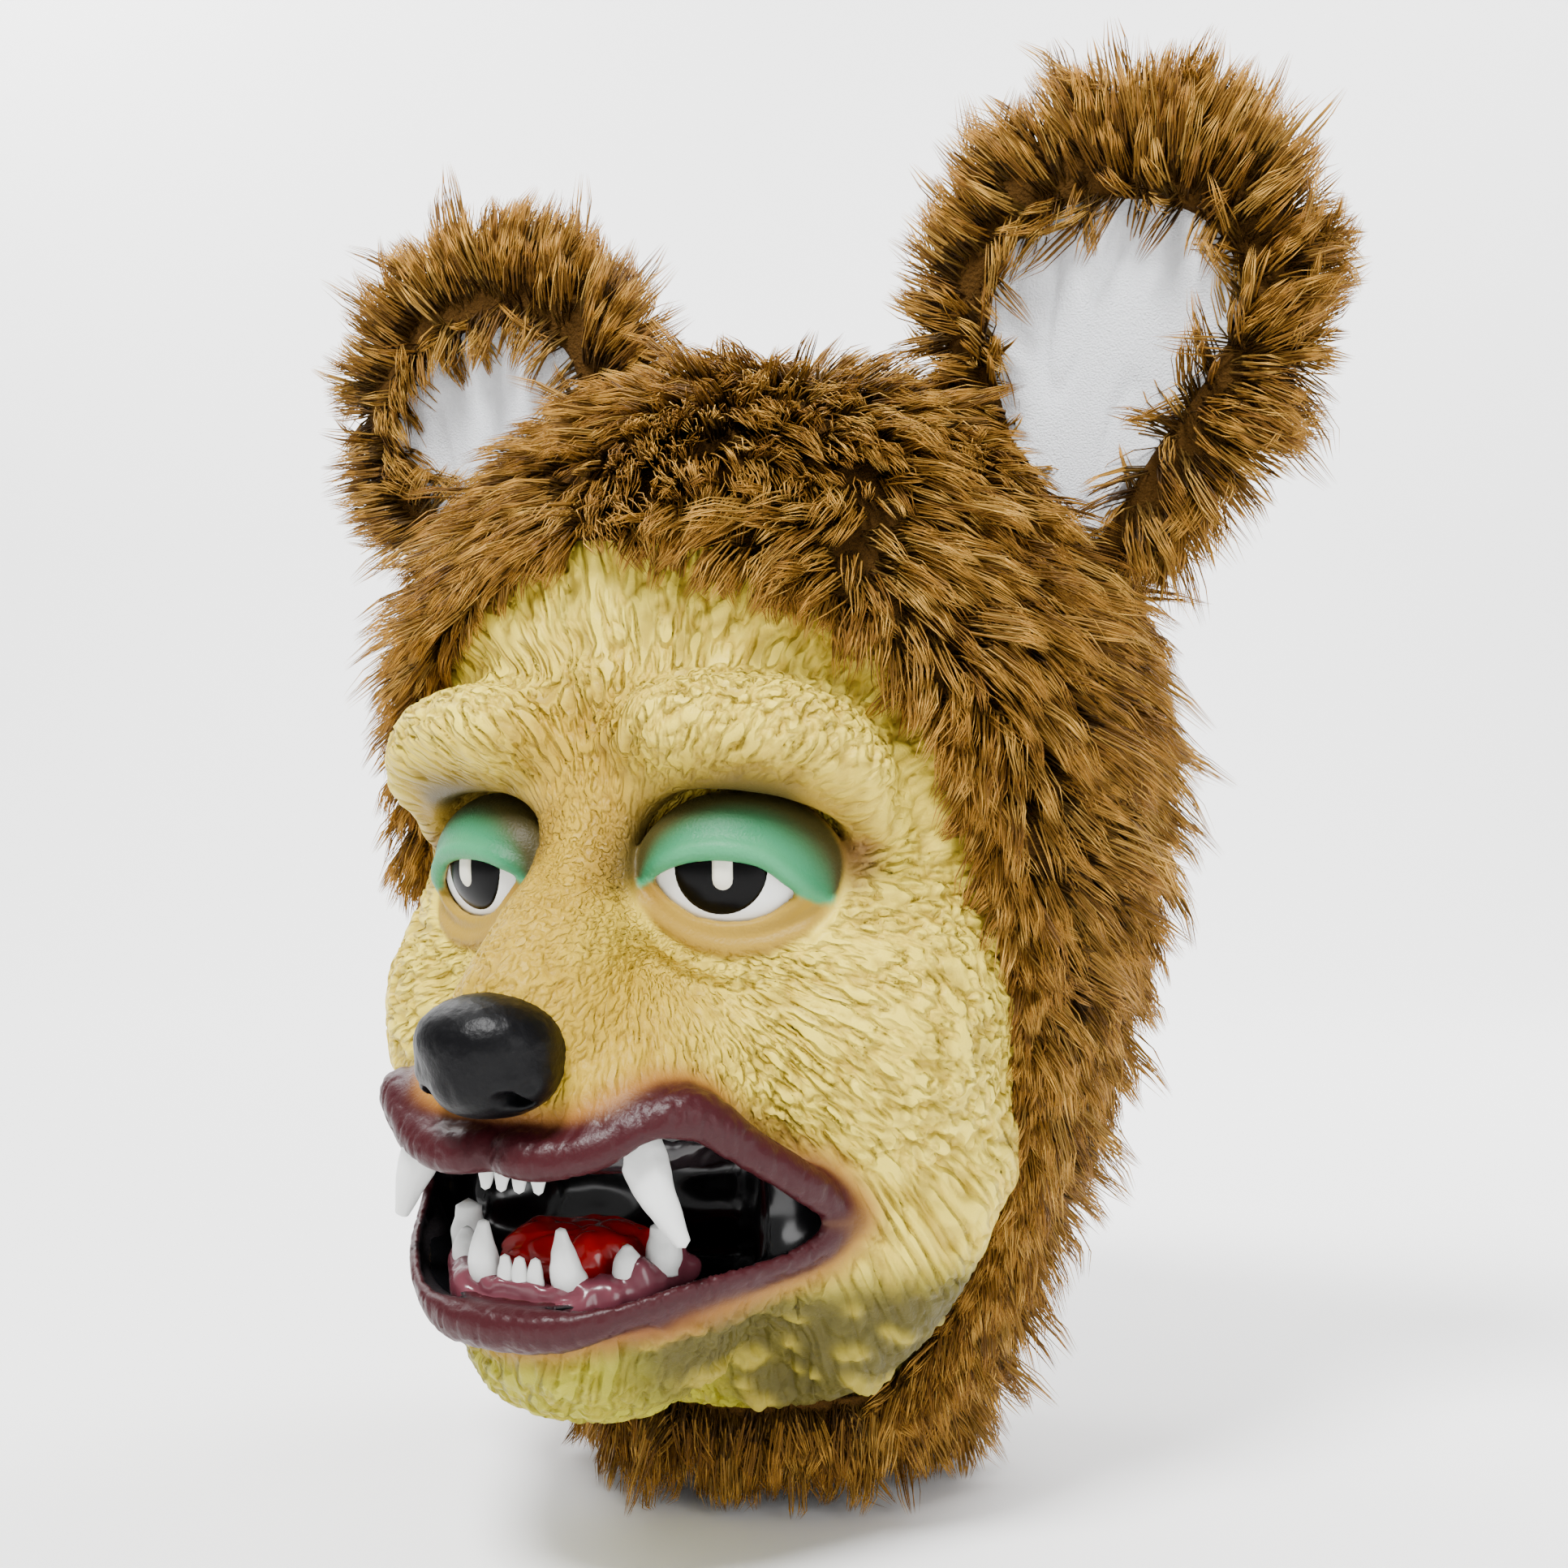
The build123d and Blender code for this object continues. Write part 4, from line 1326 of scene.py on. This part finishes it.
def tuft_strands(rng, roots, normals, comb, per_tuft, length, lift, end_lift):
    """The paths of all strands, and the number of the tuft that each belongs to."""
    tufts = len(roots)
    comb = unit(comb - normals * np.einsum("ij,ij->i", comb, normals)[:, None])
    side = np.cross(normals, comb)
    stray = rng.uniform(0, 1, tufts) < 0.10
    tuft_length = length * rng.uniform(0.66, 1.12, tufts) * np.where(stray, 1.35, 1.0)
    tuft_lift = lift + rng.normal(0, 12, tufts) + 8 * stray
    tuft_end = end_lift + rng.normal(0, 14, tufts) + 14 * stray
    middle = strand_paths(roots, normals, comb, tuft_length, tuft_lift, tuft_end)
    pick = np.repeat(np.arange(tufts), per_tuft)
    count = len(pick)
    radius = TUFT_RADIUS * np.sqrt(rng.uniform(0, 1, count))
    turn = rng.uniform(0, 2 * math.pi, count)
    aside, ahead = (radius * np.cos(turn))[:, None], (radius * np.sin(turn))[:, None]
    start = roots[pick] + side[pick] * aside + comb[pick] * ahead - normals[pick] * 2.0
    heading = unit(comb[pick] + side[pick] * rng.normal(0, STRAND_CURL, count)[:, None])
    strand_length = tuft_length[pick] * rng.uniform(0.8, 1.08, count)
    strand_lift = tuft_lift[pick] + rng.normal(0, 9, count)
    strand_end = tuft_end[pick] + rng.normal(0, 12, count)
    paths = strand_paths(start, normals[pick], heading, strand_length, strand_lift, strand_end)
    paths += (middle[pick] - paths) * (0.82 * STATIONS**1.2)[None, :, None]
    return within_size(paths), pick


def strand_points(rng, paths):
    """Three corners round each of a strand's rings, and its tip."""
    count = len(paths)
    along = unit(np.gradient(paths, axis=1))
    across = unit(np.cross(along, unit(rng.normal(0, 1, (count, 1, 3)))))
    other = np.cross(along, across)
    width = STRAND_RADIUS * rng.uniform(0.7, 1.25, count)
    points = []
    for (station, size), corner in itertools.product(enumerate(RING_SIZES), range(3)):
        angle = 2 * math.pi * corner / 3
        out = across[:, station] * math.cos(angle) + other[:, station] * math.sin(angle)
        points.append(paths[:, station] + out * (width * size)[:, None])
    points.append(paths[:, -1])
    return np.stack(points, axis=1).reshape(-1, 3)


def make_fur(name, roots, normals, comb, body, seed, length=30.0, per_tuft=12, lift=50, end_lift=4):
    """Pointed tufts of tapering three-sided strands, one tuft to each root."""
    rng = np.random.default_rng(seed)
    paths, pick = tuft_strands(rng, roots, normals, comb, per_tuft, length, lift, end_lift)
    verts = strand_points(rng, paths)
    base = np.arange(len(paths))[:, None, None] * STRAND_POINTS
    tris, quads = ((faces[None] + base).reshape(-1, faces.shape[1]) for faces in (STRAND_ENDS, STRAND_SIDES))
    piece = from_polygons(name, verts, tris, quads, body)
    for mat in FUR_MATERIALS:
        piece.data.materials.append(mat)
    tint = rng.choice(len(FUR_TINTS), len(roots), p=TINT_SHARES)[pick]
    own = rng.uniform(0, 1, len(paths)) < 0.25
    tint = np.where(own, rng.integers(0, len(FUR_TINTS), len(paths)), tint)
    first = tint[:, None] * len(FUR_TONE_AND_SHADE_LEVELS)
    slots = np.concatenate([(first + levels).ravel() for levels in (END_LEVELS, SIDE_LEVELS)])
    piece.data.polygons.foreach_set("material_index", slots.astype(np.int32))


def hood_roots(count, seed):
    """Places spread evenly over the hood's fur cloth, with the directions off and along it."""
    rng = np.random.default_rng(seed)
    step = np.hypot(*np.diff(PROFILE_CURVE, axis=0).T)
    middle = (PROFILE_CURVE[1:] + PROFILE_CURVE[:-1]) / 2
    slope = np.diff(PROFILE_CURVE, axis=0) / step[:, None]
    share = middle[:, 0] * step
    pick = rng.choice(len(share), count, p=share / share.sum())
    turn = rng.uniform(0, 2 * math.pi, count)
    r = middle[pick, 0] + rng.uniform(-0.5, 0.5, count)
    z = middle[pick, 1] + rng.uniform(-0.5, 0.5, count) * step[pick]
    normals = outward(turn) * slope[pick, 1:] - UP * slope[pick, :1]
    roots = outward(turn) * r[:, None] + UP * z[:, None] - normals * 5.0
    keep = behind_face(roots) | (roots[:, 2] < FACE_BOTTOM_Z)
    return roots[keep], normals[keep]


def hood_comb(points):
    """The way the hood's pile lies: forward over the brow, down and back at the sides, down behind."""
    x, y, z = points.T
    swirl = [Noise(90 + k) for k in range(3)]
    crown = smoothstep(285, 335, z)
    front = smoothstep(10, -60, y)
    beside = smoothstep(24, 4, y - face_edge_y(z))
    over = smoothstep(325, 300, z) * smoothstep(-60, -90, y)
    edge = np.where(z < FACE_TOP_Z, beside, over)
    comb = np.stack([0 * x, 0.42 * (1 - edge) - 0.30 * edge, -np.ones_like(z)], axis=1)
    sideways = 0.9 * np.clip(x / 35, -1, 1) * front
    forward = np.stack([sideways, -0.8 * front + 0.7 * (1 - front), -0.25 + 0 * z], axis=1)
    comb = comb * (1 - crown[:, None]) + forward * crown[:, None]
    return comb + 0.62 * np.stack([s(points / 30) + 0.8 * s(points / 11) for s in swirl], axis=1)


def make_hem_fur():
    """Shorter tufts that hang from the hem all round the neck."""
    rng = np.random.default_rng(170)
    count = 620
    turn = rng.uniform(0, 2 * math.pi, count)
    z = rng.uniform(3, 17, count)
    r = np.interp(z, [0, 17], [61.0, 66.0])
    roots = outward(turn) * r[:, None] + UP * z[:, None]
    comb = -UP + 0.3 * rng.normal(0, 1, (count, 3))
    make_fur("hem_fur", roots, outward(turn), comb, "mask", 171, length=24.0, lift=18, end_lift=-8)


def make_edge_fur():
    """Tufts along the border of the face, which lean over the latex and hide the cloth's cut edge."""
    rng = np.random.default_rng(180)
    count = 1100
    z = FACE_BOTTOM_Z + (FACE_TOP_Z - FACE_BOTTOM_Z) * rng.uniform(0, 1, count) ** 1.6
    y = face_edge_y(z) + rng.uniform(-1.0, 3.0, count)
    x = np.sqrt(np.maximum((hood_radius(z) - 6.0) ** 2 - y**2, 0)) * rng.choice([-1, 1], count)
    roots = np.stack([x, y, z], axis=1)
    normals = unit(np.stack([x, y - 0.7 * np.hypot(x, y), 0 * z], axis=1))
    comb = np.array([0, -0.25, -1]) + 0.35 * rng.normal(0, 1, (count, 3))
    for seed, (side, sign) in enumerate(SIDES, 181):
        part = sign * x > 0
        name, laid = f"edge_fur_{side}", (roots[part], normals[part], comb[part])
        make_fur(name, *laid, "mask", seed, length=20.0, lift=30, end_lift=-6)


def make_hood_fur():
    roots, normals = hood_roots(10500, 100)
    order = np.argsort(np.arctan2(roots[:, 0], -roots[:, 1]))
    comb = hood_comb(roots)
    for number, part in enumerate(np.array_split(order, 9)):
        make_fur(f"hood_fur_{number + 1}", roots[part], normals[part], comb[part], "mask", 110 + number)


def make_ear_fur(side, sign, skin, seed):
    """Tufts over the ear's cloth, some of which lean in over the plush."""
    verts, normals, quads = skin
    rng = np.random.default_rng(seed)
    turn, place = ear_frame(sign)
    corner = verts[quads]
    area = np.linalg.norm(np.cross(corner[:, 2] - corner[:, 0], corner[:, 3] - corner[:, 1]), axis=1)
    pick = rng.choice(len(quads), 1900, p=area / area.sum())
    roots = corner[pick].mean(axis=1)
    normal = unit(normals[quads[pick]].mean(axis=1))
    hollow = outline_distance(plush_curve(sign, 70), roots[:, 0], roots[:, 2])
    room = dome_distance(roots @ turn.T + place)
    keep = ((hollow > 1.0) | (roots[:, 1] > 0)) & (room > 5.2)
    roots, normal, hollow, room = roots[keep], normal[keep], hollow[keep], room[keep]
    swirl = [Noise(seed + k) for k in range(3)]
    out = unit(roots * [1, 0, 1] - np.array([0, 0, -22]))
    leaning = rng.uniform(0, 1, len(roots)) < (0.30 if sign > 0 else 0.70)
    fringe = (hollow < 8) & (roots[:, 1] < 0) & leaning
    out = np.where(fringe[:, None], -0.8 * out, out)
    comb = out + [0, 0, -0.15] + 0.6 * np.stack([s(roots / 18) + 0.6 * s(roots / 8) for s in swirl], axis=1)
    length = 27.0 * np.clip((room + 4) / 30, 0.30, 1)
    for half, part in (("front", roots[:, 1] < 0), ("back", roots[:, 1] >= 0)):
        seed += 3
        laid = roots[part] @ turn.T + place, normal[part] @ turn.T, comb[part] @ turn.T
        make_fur(f"{side}_ear_fur_{half}", *laid, f"{side}_ear", seed, length[part], 10, lift=46, end_lift=12)


ear_skins = [make_ear(side, sign) for side, sign in SIDES]
make_hood_fur()
make_hem_fur()
make_edge_fur()
for number, (side_name, side_sign) in enumerate(SIDES):
    make_ear_fur(side_name, side_sign, ear_skins[number], 130 + 10 * number)
for side_name, _ in SIDES:
    use(bpy.data.objects[f"{side_name}_ear_seam"], UNDERCOAT)


# ---- Stage, light and camera ----
CAMERA_AZ = 28.8
CAMERA_EL = -0.36
CAMERA_ROLL = -0.66
CAMERA_DISTANCE = 0.695
CAMERA_TARGET = (0, -0.025, 0.2154)
CAMERA_ASIDE = 0.0145
SENSOR_MM = 36
LENS_MM = 46.5466


def make_camera():
    az, el = math.radians(CAMERA_AZ), math.radians(CAMERA_EL)
    back = Vector((math.sin(az) * math.cos(el), -math.cos(az) * math.cos(el), math.sin(el)))
    right = Vector((math.cos(az), math.sin(az), 0))
    axes = Matrix((right, back.cross(right), back)).transposed().to_4x4()
    place = Vector(CAMERA_TARGET) + right * CAMERA_ASIDE + back * CAMERA_DISTANCE
    roll = Matrix.Rotation(math.radians(CAMERA_ROLL), 4, "Z")
    camera = bpy.data.objects.new("camera", bpy.data.cameras.new("camera"))
    camera.matrix_world = Matrix.Translation(place) @ axes @ roll
    camera.data.sensor_width = SENSOR_MM
    camera.data.lens = LENS_MM
    camera.data.clip_start = 0.01
    bpy.context.scene.collection.objects.link(camera)
    bpy.context.scene.camera = camera


def area_light(name, place, aim, size, power):
    light = bpy.data.lights.new(name, "AREA")
    light.shape = "DISK"
    light.size = size
    light.energy = power
    lamp = bpy.data.objects.new(name, light)
    lamp.location = place
    lamp.rotation_euler = (Vector(aim) - Vector(place)).to_track_quat("-Z", "Y").to_euler()
    bpy.context.scene.collection.objects.link(lamp)


def make_stage():
    """A pale floor that curves up into a backdrop behind the mask, and the lights."""
    floor_z, near, bend, height, half, curve = -21.8, -2500.0, 1500.0, 2600.0, 4000.0, 600.0
    section = [(near, floor_z), (bend, floor_z)]
    for step in range(1, 13):
        angle = math.pi / 2 * step / 12
        section.append((bend + curve * math.sin(angle), floor_z + curve * (1 - math.cos(angle))))
    section.append((bend + curve, height))
    verts = [(side * half, y, z) for y, z in section for side in (-1, 1)]
    faces = [(2 * i, 2 * i + 1, 2 * i + 3, 2 * i + 2) for i in range(len(section) - 1)]
    mesh = bpy.data.meshes.new("floor")
    mesh.from_pydata((np.array(verts) * MM).tolist(), [], faces)
    mesh.shade_smooth()
    floor = bpy.data.objects.new("floor", mesh)
    floor.rotation_euler = (0, 0, math.radians(CAMERA_AZ))
    bpy.context.scene.collection.objects.link(floor)
    mesh.materials.append(material("pale_floor", (0.97, 0.97, 0.97), 0.9))
    world = bpy.data.worlds.new("studio")
    world.use_nodes = True
    world.node_tree.nodes["Background"].inputs["Color"].default_value = (1, 1, 1, 1)
    world.node_tree.nodes["Background"].inputs["Strength"].default_value = 0.50
    bpy.context.scene.world = world
    middle = (0, -0.05, 0.2)
    for name, place, aim, size, power in (
        ("key", (0.0, -1.05, 1.75), middle, 0.55, 84),
        ("fill", (1.5, -0.9, 0.6), middle, 1.0, 14),
        ("rim", (0.6, 1.2, 1.3), middle, 0.8, 18),
        ("backdrop_left", (-1.6, 0.6, 1.9), (-1.2, 1.9, 0.2), 1.4, 60),
        ("backdrop_right", (0.6, 1.2, 1.9), (0.2, 2.4, 0.2), 1.4, 60),
    ):
        area_light(name, place, aim, size, power)


make_stage()
make_camera()
